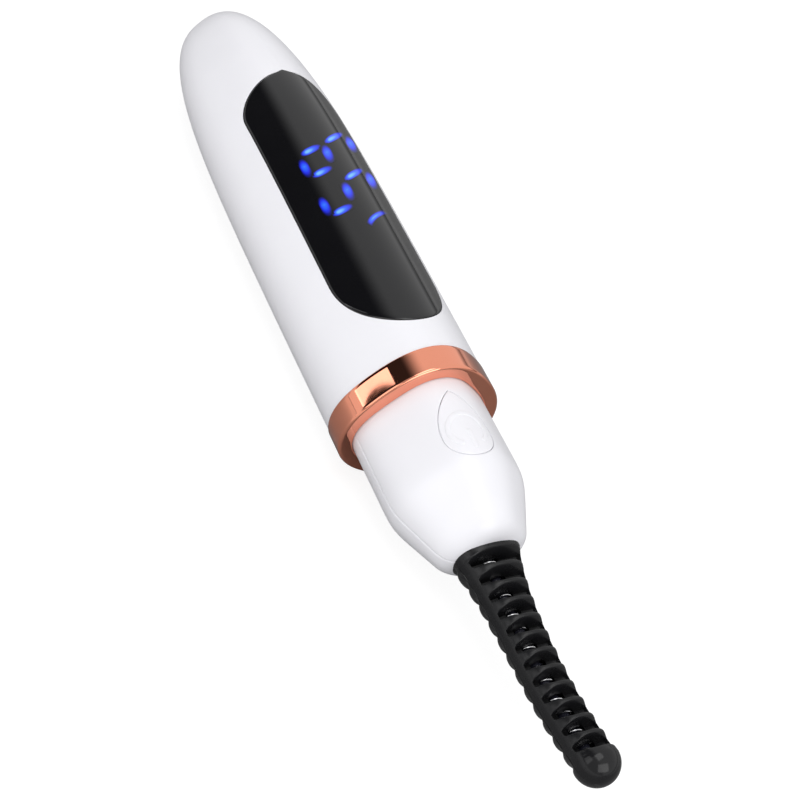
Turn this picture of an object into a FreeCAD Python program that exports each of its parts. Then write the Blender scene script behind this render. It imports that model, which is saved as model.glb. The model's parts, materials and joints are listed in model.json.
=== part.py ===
import FreeCAD, Part
import math
import os
import Sketcher

# A rechargeable heated eyelash curler: a long barrel with a display, a trim ring, a neck with a
# teardrop power button, and a bowed comb with a heating coil inside.
#
# It lies on its back with the display upwards. X runs along it to the comb's tip, its middle is
# at x = 0, and the lowest line of the trim ring rests at z = 0. Stations along the device are
# given from the trim ring's front face, and heights from the barrel's axis: the functions along()
# and up() turn both into the model's frame.

Vector = FreeCAD.Vector

DIMENSIONS = {
    # overall, from the trim ring's front face
    "rear_length": 87.0,
    "tip_length": 55.3,
    # the soft three-sided section: a circle with lobes
    "mean_radius": 11.0,
    "flatten": -0.0373,
    "corners": 0.0369,
    "squareness": 0.0177,
    # barrel
    "barrel_swell": 1.015,
    "barrel_front_taper": 0.008,
    "taper_length": 36.0,
    "dome_start": 16.3,
    "dome_fullness": 4.5,
    "dome_roundness": 2.4,
    "dome_drop": 2.85,
    "barrel_wall": 1.8,
    # trim ring
    "ring_width": 4.0,
    "ring_swell": 1.0214,
    "ring_edge": 0.35,
    "ring_clearance": 0.05,
    # display lens and its seat in the barrel
    "lens_rear": 60.9,
    "lens_front": 8.9,
    "lens_half_width": 7.8,
    "lens_rear_round": 7.2,
    "lens_front_round": 10.8,
    "lens_thickness": 1.0,
    "lens_proud": 0.06,
    "lens_gap": 0.1,
    "lens_ledge": 1.2,
    "lens_level": 2.0,
    "adhesive": 0.15,
    # neck
    "neck_swell": 0.829,
    "neck_flatten": -0.0416,
    "neck_corners": 0.0433,
    "neck_squareness": 0.0307,
    "neck_drop": 0.15,
    "neck_bend": 13.0,
    "neck_bend_softness": 0.7,
    "neck_taper_rate": 0.405,
    "neck_drop_rate": 0.05,
    "neck_front": 21.91,
    "neck_round": 3.0,
    "neck_wall": 1.4,
    "neck_end_wall": 2.0,
    "flange_length": 7.5,
    "flange_gap": 0.08,
    "neck_seam": 0.5,
    # power button
    "button_apex": 2.05,
    "button_centre": 9.1,
    "button_end_radius": 3.45,
    "button_side_radius": 8.5,
    "button_gap": 0.12,
    "button_base": 5.3,
    "button_lip": 0.65,
    "button_lip_height": 0.6,
    # circuit board and battery
    "board_rear": 69.0,
    "board_front": 11.5,
    "board_width": 12.6,
    "board_bottom": 2.0,
    "board_thickness": 1.0,
    "board_hole_radius": 0.9,
    "battery_rear": 63.5,
    "battery_length": 42.4,
    "battery_cap": 0.5,
    "battery_cap_radius": 1.7,
    "tab_thickness": 0.15,
    "tab_width": 6.8,
    "tab_height": 3.8,
    "tab_drop": 4.6,
    "battery_radius": 4.85,
    "battery_drop": 3.4,
    "sleeve_thickness": 0.12,
    "foam_rear": 57.0,
    "foam_length": 28.0,
    "foam_width": 3.0,
    "foam_gap": 0.02,
    # charging socket
    "socket_recess": 3.0,
    "socket_length": 7.3,
    "socket_drop": 2.5,
    "socket_half_straight": 2.87,
    "socket_radius": 1.6,
    "socket_gap": 0.15,
    "socket_wall": 0.3,
    "insulator_setback": 5.0,
    "tongue_setback": 0.6,
    "tongue_width": 6.6,
    "tongue_thickness": 0.7,
    "contact_count": 6,
    "contact_setback": 0.9,
    "contact_length": 4.0,
    "contact_pitch": 1.0,
    "contact_width": 0.3,
    "contact_thickness": 0.08,
    "charge_board_rear": 79.0,
    "charge_board_length": 12.5,
    "charge_board_width": 7.0,
    "charge_board_thickness": 0.8,
    # power switch
    "switch_station": 8.6,
    "switch_side": 4.6,
    "switch_height": 1.5,
    "switch_pocket_radius": 1.75,
    "switch_floor": 0.3,
    "switch_cover": 0.15,
    "plunger_radius": 1.0,
    "plunger_clearance": 0.08,
    "plunger_foot_radius": 1.5,
    "plunger_foot": 0.3,
    "plunger_gap": 0.05,
    "dome_spring_height": 0.55,
    "dome_spring_thickness": 0.08,
    # display module
    "display_rear": 48.5,
    "display_length": 23.0,
    "display_width": 11.8,
    "display_height": 3.9,
    "digit_pitch": 8.0,
    "digit_width": 4.4,
    "digit_height": 8.6,
    "segment_width": 0.9,
    "segment_gap": 0.35,
    "segment_well_gap": 0.05,
    "lamp_height": 0.5,
    "lamp_inset": 0.15,
    "light_bar_lift": 0.9,
    # chassis that carries the board and the battery
    "chassis_gap": 0.08,
    "rib_thickness": 1.5,
    "rail_inner": 5.1,
    "rail_width": 6.0,
    "rail_height": 1.5,
    "rib_half_width": 12.0,
    "notch_width": 1.6,
    "notch_height": 4.0,
    "notch_drop": 1.9,
    "boss_radius": 1.7,
    "boss_height": 3.2,
    "screw_radius": 0.75,
    "screw_clearance": 0.02,
    "screw_head_radius": 1.4,
    "screw_head_height": 0.8,
    "screw_length": 3.0,
    # comb
    "comb_half_width": 2.92,
    "comb_flare": 1.8,
    "comb_flare_length": 5.2,
    "comb_height": 2.95,
    "comb_back_flare": 1.2,
    "comb_front_flare": 0.45,
    "comb_low_point": 38.0,
    "comb_drop": 1.75,
    "comb_bow_rear": 0.0045,
    "comb_bow_front": 0.009,
    "comb_tip_radius": 3.0,
    "comb_fullness": 0.5,
    "comb_root": 17.6,
    "comb_flange_width": 0.37,
    "comb_gap": 0.08,
    "slot_count": 12,
    "first_slot": 23.4,
    "slot_pitch": 2.46,
    "slot_width": 1.3,
    "slot_reach": 0.8,
    "slot_floor": 0.3,
    "groove_radius": 1.0,
    "groove_depth": 0.35,
    "tunnel_radius": 1.6,
    "tunnel_front": 51.1,
    # heater
    "coil_drop": 1.45,
    "coil_radius": 1.1,
    "coil_wire_radius": 0.17,
    "coil_pitch": 0.95,
    "coil_rear": 20.5,
    "coil_length": 30.0,
    "core_radius": 0.85,
    "core_rear": 15.2,
    "core_front": 50.8,
    "collar_rear": 14.6,
    "collar_length": 2.9,
    "collar_slot_width": 3.2,
    "collar_slot_height": 2.0,
    "collar_slot_drop": 0.3,
    "root_pocket_radius": 2.3,
    "lead_radius": 0.25,
    "battery_lead_radius": 0.35,
    "fine_radius": 0.1,
    "solder_gap": 0.2,
    "bead_radius": 0.4,
}

OUTLINE_POINTS = 24
DOME_SECTIONS = 14
STRAIGHT_SECTIONS = 6
STRAIGHT_LEAD = 8.0
SECTION_SPACING = 1.5
ROUND_SECTIONS = 4
COMB_SPACING = 2.5
PARTING_LEAD = 2.0
PARTING_POINTS = 18
TIP_DEGREES = (20, 40, 60, 75)
TALL = "1.3 * dims.mean_radius"

doc = FreeCAD.newDocument("eyelash_curler")
sheet = doc.addObject("Spreadsheet::Sheet", "dims")
pieces = []


def fill_sheet():
    """Write each driving dimension into the sheet as a plain number with its alias."""
    DIMENSIONS["ring_front"] = (DIMENSIONS["rear_length"] - DIMENSIONS["tip_length"]) / 2
    back_reach = 1 + DIMENSIONS["flatten"] - DIMENSIONS["corners"] + DIMENSIONS["squareness"]
    DIMENSIONS["axis_height"] = DIMENSIONS["mean_radius"] * back_reach * DIMENSIONS["ring_swell"]
    DIMENSIONS["neck_tilt"] = math.atan(DIMENSIONS["neck_taper_rate"])
    round_length = DIMENSIONS["neck_round"] * (1 - math.sin(DIMENSIONS["neck_tilt"]))
    DIMENSIONS["neck_round_start"] = DIMENSIONS["neck_front"] - round_length
    DIMENSIONS["comb_tip_middle"] = DIMENSIONS["tip_length"] - DIMENSIONS["comb_tip_radius"]
    for row, (name, value) in enumerate(DIMENSIONS.items(), start=1):
        sheet.set("A%d" % row, name)
        sheet.set("B%d" % row, repr(value))
        sheet.setAlias("B%d" % row, name)
    doc.recompute()


def size(name):
    """A driving dimension as a number."""
    return float(sheet.get(name))


def along(station):
    """Expression for a station measured from the trim ring's front face."""
    return "dims.ring_front + (%s)" % station


def up(height):
    """Expression for a height measured from the barrel's axis."""
    return "dims.axis_height + (%s)" % height


def keep(piece, label):
    """Name a finished sub-part and put it on the list that is written out."""
    piece.Label = label
    pieces.append(piece)
    return piece


# ---- Part primitives and booleans, tied to the sheet ----


def place(thing, corner):
    """Tie a placement's three coordinates to expressions."""
    for axis, expression in zip("xyz", corner):
        thing.setExpression("Placement.Base.%s" % axis, expression)


def box(name, corner, sides):
    """A box from its lowest corner and its sides along X, Y and Z."""
    thing = doc.addObject("Part::Box", name)
    for side, expression in zip(("Length", "Width", "Height"), sides):
        thing.setExpression(side, expression)
    place(thing, corner)
    return thing


def cylinder(name, start, radius, length, direction=Vector(0, 0, 1)):
    """A cylinder from the middle of its first face, along a direction."""
    thing = doc.addObject("Part::Cylinder", name)
    thing.Placement.Rotation = FreeCAD.Rotation(Vector(0, 0, 1), direction)
    thing.setExpression("Radius", radius)
    thing.setExpression("Height", length)
    place(thing, start)
    return thing


def cut(name, base, *tools):
    """The base with each tool taken away in turn."""
    for number, tool in enumerate(tools, start=1):
        thing = doc.addObject("Part::Cut", "%s_cut_%d" % (name, number))
        thing.Base = base
        thing.Tool = tool
        thing.Refine = False
        base = thing
    return base


def fuse(name, *parts):
    thing = doc.addObject("Part::MultiFuse", name)
    thing.Shapes = list(parts)
    thing.Refine = False
    return thing


def common(name, *parts):
    thing = doc.addObject("Part::MultiCommon", name)
    thing.Shapes = list(parts)
    thing.Refine = False
    return thing


def group(name, parts):
    """Several separate solids of one kind, kept as one sub-part."""
    thing = doc.addObject("Part::Compound", name)
    thing.Links = list(parts)
    return thing


def form(name, shape):
    """A shape made by Part's own functions, from sizes read from the sheet."""
    thing = doc.addObject("Part::Feature", name)
    thing.Shape = shape
    return thing


def raised(name, outline, height):
    """A flat outline drawn out upwards into a solid."""
    thing = doc.addObject("Part::Extrusion", name)
    thing.Base = outline
    thing.DirMode = "Custom"
    thing.Dir = Vector(0, 0, 1)
    thing.Solid = True
    thing.setExpression("LengthFwd", height)
    return thing


# ---- PartDesign bodies, with sketches tied to the sheet ----


def new_body(name):
    return doc.addObject("PartDesign::Body", name)


def sketch_on(body, plane, level):
    """An empty sketch parallel to one of the body's origin planes."""
    sketch = body.newObject("Sketcher::SketchObject", body.Name + "_sketch")
    role = [feature for feature in body.Origin.OriginFeatures if feature.Role == plane][0]
    sketch.AttachmentSupport = [(role, "")]
    sketch.MapMode = "FlatFace"
    sketch.setExpression("AttachmentOffset.Base.z", level)
    return sketch


def tie(sketch, kind, places, expression):
    """A driving constraint whose value follows an expression."""
    value = sketch.evalExpression(expression)
    index = sketch.addConstraint(Sketcher.Constraint(kind, *places, float(value)))
    sketch.setExpression("Constraints[%d]" % index, expression)


def draw_rectangle(sketch, left, bottom, width, height):
    """A rectangle from its lower left corner and its two sides."""
    x, y, dx, dy = [float(sketch.evalExpression(text)) for text in (left, bottom, width, height)]
    corners = [Vector(x, y), Vector(x + dx, y), Vector(x + dx, y + dy), Vector(x, y + dy)]
    first = sketch.GeometryCount
    for side in range(4):
        sketch.addGeometry(Part.LineSegment(corners[side], corners[(side + 1) % 4]))
    for side in range(4):
        sketch.addConstraint(
            Sketcher.Constraint("Coincident", first + side, 2, first + (side + 1) % 4, 1))
    for side in (0, 2):
        sketch.addConstraint(Sketcher.Constraint("Horizontal", first + side))
    for side in (1, 3):
        sketch.addConstraint(Sketcher.Constraint("Vertical", first + side))
    tie(sketch, "DistanceX", (-1, 1, first, 1), left)
    tie(sketch, "DistanceY", (-1, 1, first, 1), bottom)
    tie(sketch, "DistanceX", (first, 1, first, 2), width)
    tie(sketch, "DistanceY", (first + 1, 1, first + 1, 2), height)


def draw_circle(sketch, across, upwards, radius):
    """A circle from its middle and radius."""
    x, y, reach = [float(sketch.evalExpression(text)) for text in (across, upwards, radius)]
    index = sketch.addGeometry(Part.Circle(Vector(x, y), Vector(0, 0, 1), reach))
    tie(sketch, "DistanceX", (-1, 1, index, 3), across)
    tie(sketch, "DistanceY", (-1, 1, index, 3), upwards)
    tie(sketch, "Radius", (index,), radius)


def draw_stadium(sketch, across, upwards, half_straight, radius):
    """Two half circles joined by level lines, as the mouth of a charging socket."""
    values = [float(sketch.evalExpression(text)) for text in (across, upwards, half_straight, radius)]
    x, y, half, reach = values
    normal = Vector(0, 0, 1)
    right_circle = Part.Circle(Vector(x + half, y), normal, reach)
    left_circle = Part.Circle(Vector(x - half, y), normal, reach)
    quarter = math.pi / 2
    right = sketch.addGeometry(Part.ArcOfCircle(right_circle, -quarter, quarter))
    left = sketch.addGeometry(Part.ArcOfCircle(left_circle, quarter, 3 * quarter))
    top = sketch.addGeometry(Part.LineSegment(Vector(x + half, y + reach), Vector(x - half, y + reach)))
    base = sketch.addGeometry(Part.LineSegment(Vector(x - half, y - reach), Vector(x + half, y - reach)))
    for join in ((right, 2, top, 1), (top, 2, left, 1), (left, 2, base, 1), (base, 2, right, 1)):
        sketch.addConstraint(Sketcher.Constraint("Tangent", *join))
    sketch.addConstraint(Sketcher.Constraint("Horizontal", top))
    tie(sketch, "DistanceX", (-1, 1, right, 3), "%s + %s" % (across, half_straight))
    tie(sketch, "DistanceX", (-1, 1, left, 3), "%s - %s" % (across, half_straight))
    tie(sketch, "DistanceY", (-1, 1, right, 3), upwards)
    tie(sketch, "Radius", (right,), radius)


def pad(body, sketch, length):
    feature = body.newObject("PartDesign::Pad", body.Name + "_pad")
    feature.Profile = sketch
    feature.setExpression("Length", length)
    return feature


def pocket(body, sketch, length):
    """Cut downwards from the sketch's plane."""
    feature = body.newObject("PartDesign::Pocket", body.Name + "_pocket")
    feature.Profile = sketch
    feature.setExpression("Length", length)
    return feature


# ---- the sculpted forms of the barrel, the neck and the comb ----


def closed_curve(points):
    curve = Part.BSplineCurve()
    curve.interpolate(Points=points, PeriodicFlag=True)
    return Part.Wire([curve.toShape()])


def lobed_outline(station, reach, lift, lobes):
    """The soft three-sided section: a circle of the mean reach with two, three and four lobes."""
    points = []
    for step in range(OUTLINE_POINTS):
        turn = 2 * math.pi * step / OUTLINE_POINTS
        swing = 1 + sum(lobe * math.cos(count * turn) for count, lobe in enumerate(lobes, start=2))
        across = reach * swing * math.sin(turn)
        upwards = reach * swing * math.cos(turn)
        points.append(Vector(size("ring_front") + station, across, size("axis_height") + lift + upwards))
    return closed_curve(points)


def barrel_lobes():
    return size("flatten"), size("corners"), size("squareness")


def neck_lobes():
    return size("neck_flatten"), size("neck_corners"), size("neck_squareness")


def barrel_reach(station):
    """Mean radius of the barrel in front of its dome, which narrows a little towards the ring."""
    taper_start = -size("ring_width") - size("taper_length")
    narrowing = max(0, (station - taper_start) / size("taper_length"))
    return size("mean_radius") * (size("barrel_swell") - size("barrel_front_taper") * narrowing ** 2)


def dome_station(fraction, inset):
    """Where along the dome its section has shrunk to a fraction of the full one."""
    length = size("rear_length") - inset - size("dome_start")
    shrink = 1 - fraction ** size("dome_roundness")
    return -size("dome_start") - length * shrink ** (1 / size("dome_fullness"))


def barrel_form(inset, front):
    """The barrel's outer form drawn in by an inset, up to a front station."""
    full = size("mean_radius") * size("barrel_swell") - inset
    pole = Vector(size("ring_front") - size("rear_length") + inset, 0, 0)
    pole.z = size("axis_height") - size("dome_drop")
    sections = [Part.Vertex(pole)]
    for step in range(1, DOME_SECTIONS - 1):
        fraction = math.sin(math.pi / 2 * step / DOME_SECTIONS)
        station = dome_station(fraction, inset)
        lift = -size("dome_drop") * (1 - fraction)
        sections.append(lobed_outline(station, full * fraction, lift, barrel_lobes()))
    straight_start = station + STRAIGHT_LEAD
    for step in range(STRAIGHT_SECTIONS):
        station = straight_start + (front - straight_start) * step / (STRAIGHT_SECTIONS - 1)
        fraction = dome_fraction(station, inset)
        reach = fraction * (barrel_reach(station) - inset)
        lift = -size("dome_drop") * (1 - fraction)
        sections.append(lobed_outline(station, reach, lift, barrel_lobes()))
    return Part.makeLoft(sections, True, False)


def dome_fraction(station, inset):
    """The share of the full section that the dome leaves at a station."""
    if station > -size("dome_start"):
        return 1
    length = size("rear_length") - inset - size("dome_start")
    way = (-size("dome_start") - station) / length
    return (1 - way ** size("dome_fullness")) ** (1 / size("dome_roundness"))


def past_bend(station):
    """Distance past the neck's bend, eased in softly."""
    softness = size("neck_bend_softness")
    return softness * math.log1p(math.exp((station - size("neck_bend")) / softness))


def neck_section(station, shrink):
    """The neck's section at a station, drawn in by an amount."""
    reach = size("mean_radius") * size("neck_swell") - size("neck_taper_rate") * past_bend(station)
    lift = -size("neck_drop") - size("neck_drop_rate") * past_bend(station)
    return lobed_outline(station, reach - shrink, lift, neck_lobes())


def neck_form(inset, rear, front):
    """The neck drawn in by an inset, between two stations; it rounds over beyond its taper."""
    last = min(front, size("neck_round_start"))
    steps = round((last - rear) / SECTION_SPACING)
    sections = [neck_section(rear + (last - rear) * step / steps, inset) for step in range(steps + 1)]
    if front > last:
        tilt = size("neck_tilt")
        for step in range(1, ROUND_SECTIONS + 1):
            turn = tilt + (math.pi / 2 - tilt) * step / ROUND_SECTIONS
            station = last + size("neck_round") * (math.sin(turn) - math.sin(tilt))
            shrink = size("neck_round") * (math.cos(tilt) - math.cos(turn))
            sections.append(round_section(station, inset + shrink))
    return Part.makeLoft(sections, True, False)


def round_section(station, shrink):
    """A section of the neck's rounded end, which keeps the reach that the taper ends with."""
    reach = size("mean_radius") * size("neck_swell")
    reach -= size("neck_taper_rate") * past_bend(size("neck_round_start"))
    lift = -size("neck_drop") - size("neck_drop_rate") * past_bend(size("neck_round_start"))
    return lobed_outline(station, reach - shrink, lift, neck_lobes())


def comb_middle(station):
    """Height of the comb's bowed centre line from the barrel's axis."""
    reach = min(max(station, size("neck_front")), size("comb_tip_middle")) - size("comb_low_point")
    bow = size("comb_bow_rear") if reach < 0 else size("comb_bow_front")
    return bow * reach ** 2 - size("comb_drop")


def comb_sizes(station):
    """The comb's half width and its heights in front of and behind its centre line."""
    past_tip = station - size("comb_tip_middle")
    if past_tip > 0:
        radius = math.sqrt(size("comb_tip_radius") ** 2 - past_tip ** 2)
        return radius, radius, radius
    flare = math.exp(-max(0, station - size("neck_front")) / size("comb_flare_length"))
    return (size("comb_half_width") + size("comb_flare") * flare,
            size("comb_height") + size("comb_front_flare") * flare,
            size("comb_height") + size("comb_back_flare") * flare)


def comb_section(station, grow):
    """The comb's rounded section, a soft rectangle at its root and a circle at its tip."""
    half_width, front, back = comb_sizes(station)
    way = (station - size("neck_front")) / (size("comb_tip_middle") - size("neck_front"))
    power = 2 + size("comb_fullness") * max(0, 1 - 2 * max(0, way))
    points = []
    for step in range(OUTLINE_POINTS):
        turn = 2 * math.pi * step / OUTLINE_POINTS
        height = front if math.cos(turn) > 0 else back
        across = (abs(math.sin(turn)) / (half_width + grow)) ** power
        upwards = (abs(math.cos(turn)) / (height + grow)) ** power
        reach = (across + upwards) ** (-1 / power)
        points.append(Vector(size("ring_front") + station, reach * math.sin(turn),
                             size("axis_height") + comb_middle(station) + reach * math.cos(turn)))
    return closed_curve(points)


def comb_sections(grow, rear, front):
    """The comb's outer sections between two stations, grown by an amount."""
    steps = max(2, round((front - rear) / COMB_SPACING))
    return [comb_section(rear + (front - rear) * step / steps, grow) for step in range(steps + 1)]


def comb_solid():
    """The whole outer form, from its root inside the neck to the round tip."""
    sections = comb_sections(0, size("comb_root"), size("comb_tip_middle"))
    for degrees in TIP_DEGREES:
        past = size("comb_tip_radius") * math.sin(math.radians(degrees))
        sections.append(comb_section(size("comb_tip_middle") + past, 0))
    tip = Vector(size("ring_front") + size("tip_length"), 0, size("axis_height"))
    tip.z += comb_middle(size("tip_length"))
    return Part.makeLoft(sections + [Part.Vertex(tip)], True, False)


def above_parting():
    """A block above the comb's bowed parting line."""
    half = size("mean_radius")
    start = size("comb_root") - PARTING_LEAD
    stations = [start + COMB_SPACING * step for step in range(PARTING_POINTS)]
    points = []
    for station in stations:
        height = size("axis_height") + comb_middle(station)
        points.append(Vector(size("ring_front") + station, -half, height))
    line = Part.BSplineCurve()
    line.interpolate(Points=points)
    top = size("axis_height") + half
    corners = [points[-1], Vector(points[-1].x, -half, top), Vector(points[0].x, -half, top), points[0]]
    edges = [line.toShape()]
    edges += [Part.makeLine(corners[side], corners[side + 1]) for side in range(3)]
    return Part.Face(Part.Wire(edges)).extrude(Vector(0, 2 * half, 0))


# ---- the barrel, its display lens and the trim ring ----


def half_ellipse(middle, reach, half_width, forwards):
    """The lens's rounded end: half an ellipse between its two straight sides."""
    side = Vector(0, half_width, 0)
    end = Vector(reach, 0, 0)
    if reach > half_width:
        start = -math.pi / 2 if forwards else math.pi / 2
        ellipse = Part.Ellipse(middle + end, middle + side, middle)
    else:
        start = math.pi if forwards else 0
        ellipse = Part.Ellipse(middle + side, middle - end, middle)
    return Part.ArcOfEllipse(ellipse, start, start + math.pi).toShape()


def lens_outline(grow):
    """The display lens's outline as seen from above, grown by an amount."""
    height = size("axis_height") + size("lens_level")
    half_width = size("lens_half_width") + grow
    rear_x = size("ring_front") - size("lens_rear") + size("lens_rear_round")
    front_x = size("ring_front") - size("lens_front") - size("lens_front_round")
    rear = Vector(rear_x, 0, height)
    front = Vector(front_x, 0, height)
    edges = [half_ellipse(rear, size("lens_rear_round") + grow, half_width, False),
             half_ellipse(front, size("lens_front_round") + grow, half_width, True)]
    for side in (-half_width, half_width):
        edges.append(Part.makeLine(rear + Vector(0, side, 0), front + Vector(0, side, 0)))
    return Part.Face(Part.Wire(Part.sortEdges(edges)[0]))


def lens_prism(name, grow):
    outline = form(name + "_outline", lens_outline(grow))
    return raised(name + "_prism", outline, TALL)


def build_barrel():
    """A moulded shell with a domed rear end, a stepped seat for the lens and the socket's mouth."""
    wall = size("barrel_wall")
    front = -size("ring_width")
    outer = form("barrel_outer", barrel_form(0, front))
    cavity = form("barrel_cavity", barrel_form(wall, front + 1))
    seat_floor = form("lens_seat_floor", barrel_form(size("lens_thickness") + size("adhesive"), front))
    seat = cut("lens_seat", lens_prism("lens_seat", size("lens_gap")), seat_floor)
    window = lens_prism("window", -size("lens_ledge"))
    mouth_body = new_body("socket_mouth")
    sketch = sketch_on(mouth_body, "YZ_Plane", along("-dims.rear_length - 1"))
    draw_stadium(sketch, "0", up("-dims.socket_drop"), "dims.socket_half_straight",
                 "dims.socket_radius + dims.socket_gap")
    pad(mouth_body, sketch, "1 + dims.socket_recess + dims.socket_length")
    keep(cut("barrel", outer, seat, cavity, window, mouth_body), "barrel")


def build_lens():
    """A smoked lens that follows the barrel and lies in its seat on a ring of adhesive."""
    front = -size("ring_width")
    top = form("lens_top", barrel_form(-size("lens_proud"), front))
    underside = form("lens_underside", barrel_form(size("lens_thickness"), front))
    keep(cut("lens", common("lens_block", lens_prism("lens", 0), top), underside), "display_lens")
    floor = form("adhesive_floor", barrel_form(size("lens_thickness") + size("adhesive"), front))
    frame = cut("adhesive_frame", lens_prism("adhesive", 0), lens_prism("adhesive_hole", -size("lens_ledge")))
    keep(cut("adhesive", common("adhesive_block", frame, underside), floor), "lens_adhesive")


def build_trim_ring():
    """A plated ring with softened outer edges, closing the gap between barrel and neck."""
    outline = lobed_outline(0, size("mean_radius") * size("ring_swell"), 0, barrel_lobes())
    block = Part.Face(outline).extrude(Vector(-size("ring_width"), 0, 0))
    rims = [edge for edge in block.Edges if edge.BoundBox.XLength < size("ring_edge")]
    softened = form("ring_block", block.makeFillet(size("ring_edge"), rims))
    hole_section = neck_section(1, -size("ring_clearance"))
    hole = form("ring_hole", Part.Face(hole_section).extrude(Vector(-size("ring_width") - 2, 0, 0)))
    keep(cut("ring", softened, hole), "trim_ring")


# ---- the neck shells and the power button ----


def flange_form():
    """The neck's collar inside the barrel, just clear of the barrel's wall."""
    sections = []
    for step in range(4):
        station = -size("ring_width") - size("flange_gap") - size("flange_length") * step / 3
        reach = barrel_reach(station) - size("barrel_wall") - size("flange_gap")
        sections.append(lobed_outline(station, reach, 0, barrel_lobes()))
    return Part.makeLoft(sections, True, False)


def build_neck():
    """Front and back shells that part along a level seam and clasp the comb's root between them."""
    rear = -size("ring_width") - size("flange_length") - size("flange_gap")
    front = size("neck_front")
    inner_front = front - size("neck_end_wall")
    outer = form("neck_outer", neck_form(0, rear, front))
    cavity = form("neck_cavity", neck_form(size("neck_wall"), rear - 1, inner_front))
    flange = form("neck_flange", flange_form())
    grip = Part.makeLoft(comb_sections(size("comb_gap"), inner_front - 1, front + 2), True, False)
    shell = cut("neck", fuse("neck_solid", outer, flange), cavity, form("comb_hole", grip))
    low_corner = (along("-2 * dims.mean_radius"), "-2 * dims.mean_radius",
                  up("-dims.neck_seam - 2 * dims.mean_radius"))
    low_sides = ("5 * dims.mean_radius", "4 * dims.mean_radius", "2 * dims.mean_radius")
    lower = box("below_seam", low_corner, low_sides)
    opening_outline = doc.addObject("Part::Offset2D", "button_opening_outline")
    opening_outline.Source = button_outline()
    opening_outline.setExpression("Value", "dims.button_gap")
    opening = raised("button_opening", opening_outline, "dims.mean_radius")
    keep(cut("front_shell", shell, lower, opening), "neck_front_shell")
    keep(common("back_shell", shell, lower), "neck_back_shell")


def button_outline():
    """A teardrop: a round end, and two bulging sides that meet at the apex."""
    if doc.getObject("button_outline"):
        return doc.getObject("button_outline")
    end_radius = size("button_end_radius")
    side_radius = size("button_side_radius")
    run = size("button_centre") - size("button_apex")
    height = size("axis_height") + size("button_base")
    apex = Vector(size("ring_front") + size("button_apex"), 0, height)
    end = apex + Vector(run, 0, 0)
    lead = (side_radius ** 2 - (side_radius - end_radius) ** 2 + run ** 2) / (2 * run)
    side_middle = apex + Vector(lead, -math.sqrt(side_radius ** 2 - lead ** 2), 0)
    touch = end + (end - side_middle).normalize() * end_radius
    halfway = (apex + touch) / 2 - side_middle
    bulge = side_middle + halfway.normalize() * side_radius
    upper = Part.Arc(apex, bulge, touch).toShape()
    lower = Part.Arc(apex, mirrored(bulge), mirrored(touch)).toShape()
    round_end = Part.Arc(touch, end + Vector(end_radius, 0, 0), mirrored(touch)).toShape()
    return form("button_outline", Part.Wire(Part.sortEdges([upper, round_end, lower])[0]))


def mirrored(point):
    return Vector(point.x, -point.y, point.z)


def build_button():
    """A teardrop key, flush with the neck, with a lip that keeps it inside the front shell."""
    stem = raised("button_stem", button_outline(), "dims.mean_radius")
    skin = form("button_skin", neck_form(0, 0, size("neck_round_start")))
    lip_outline = doc.addObject("Part::Offset2D", "button_lip_outline")
    lip_outline.Source = button_outline()
    lip_outline.setExpression("Value", "dims.button_lip")
    lip = raised("button_lip", lip_outline, "dims.button_lip_height")
    keep(fuse("button", common("button_top", stem, skin), lip), "power_button")


# ---- the comb and its heater ----


def build_comb():
    """Two heat-proof halves around the heater: slots across the front, grooves across the back."""
    root = size("comb_root")
    flange_front = size("neck_front") - size("neck_end_wall") - size("comb_gap")
    flange = Part.makeLoft(comb_sections(size("comb_flange_width"), root, flange_front), True, False)
    solid = fuse("comb_solid", form("comb_form", comb_solid()), form("comb_flange", flange))
    axis = up("-dims.coil_drop")
    forwards = Vector(1, 0, 0)
    tunnel = cylinder("comb_tunnel", (along("dims.comb_root - 1"), "0", axis), "dims.tunnel_radius",
                      "dims.tunnel_front - dims.comb_root + 1", forwards)
    pocket_hole = cylinder("comb_root_pocket", (along("dims.comb_root - 1"), "0", axis),
                           "dims.root_pocket_radius", "dims.coil_rear - dims.comb_root + 1", forwards)
    shell = cut("comb_shell", solid, tunnel, pocket_hole)
    upper = form("above_parting", above_parting())
    slots = group("comb_slots", [comb_slot(number) for number in range(int(size("slot_count")))])
    keep(cut("front_half", common("comb_upper", shell, upper), slots), "comb_front")
    grooves = group("comb_grooves", [comb_groove(number) for number in range(int(size("slot_count")) + 1)])
    keep(cut("back_half", shell, upper, grooves), "comb_back")


def comb_slot(number):
    """One slot across the front half, as wide as the rails along its sides leave."""
    station = "dims.first_slot + %d * dims.slot_pitch" % number
    flare = "dims.comb_flare * exp(-(%s - dims.neck_front) / dims.comb_flare_length)" % station
    half = "dims.slot_reach * (dims.comb_half_width + %s)" % flare
    floor = size("first_slot") + number * size("slot_pitch")
    corner = (along(station + " - dims.slot_width / 2"), "-(%s)" % half,
              up("%.3f + dims.slot_floor" % comb_middle(floor)))
    return box("comb_slot_%d" % (number + 1), corner, ("dims.slot_width", "2 * (%s)" % half, "8"))


def comb_groove(number):
    """One shallow groove across the back half, half a pitch away from the slots."""
    station = size("first_slot") + (number - 0.5) * size("slot_pitch")
    back = comb_sizes(station)[2]
    start = (along("dims.first_slot + %.1f * dims.slot_pitch" % (number - 0.5)), "-6",
             up("%.3f - dims.groove_radius" % (comb_middle(station) - back + size("groove_depth"))))
    return cylinder("comb_groove_%d" % (number + 1), start, "dims.groove_radius", "12", Vector(0, 1, 0))


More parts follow.
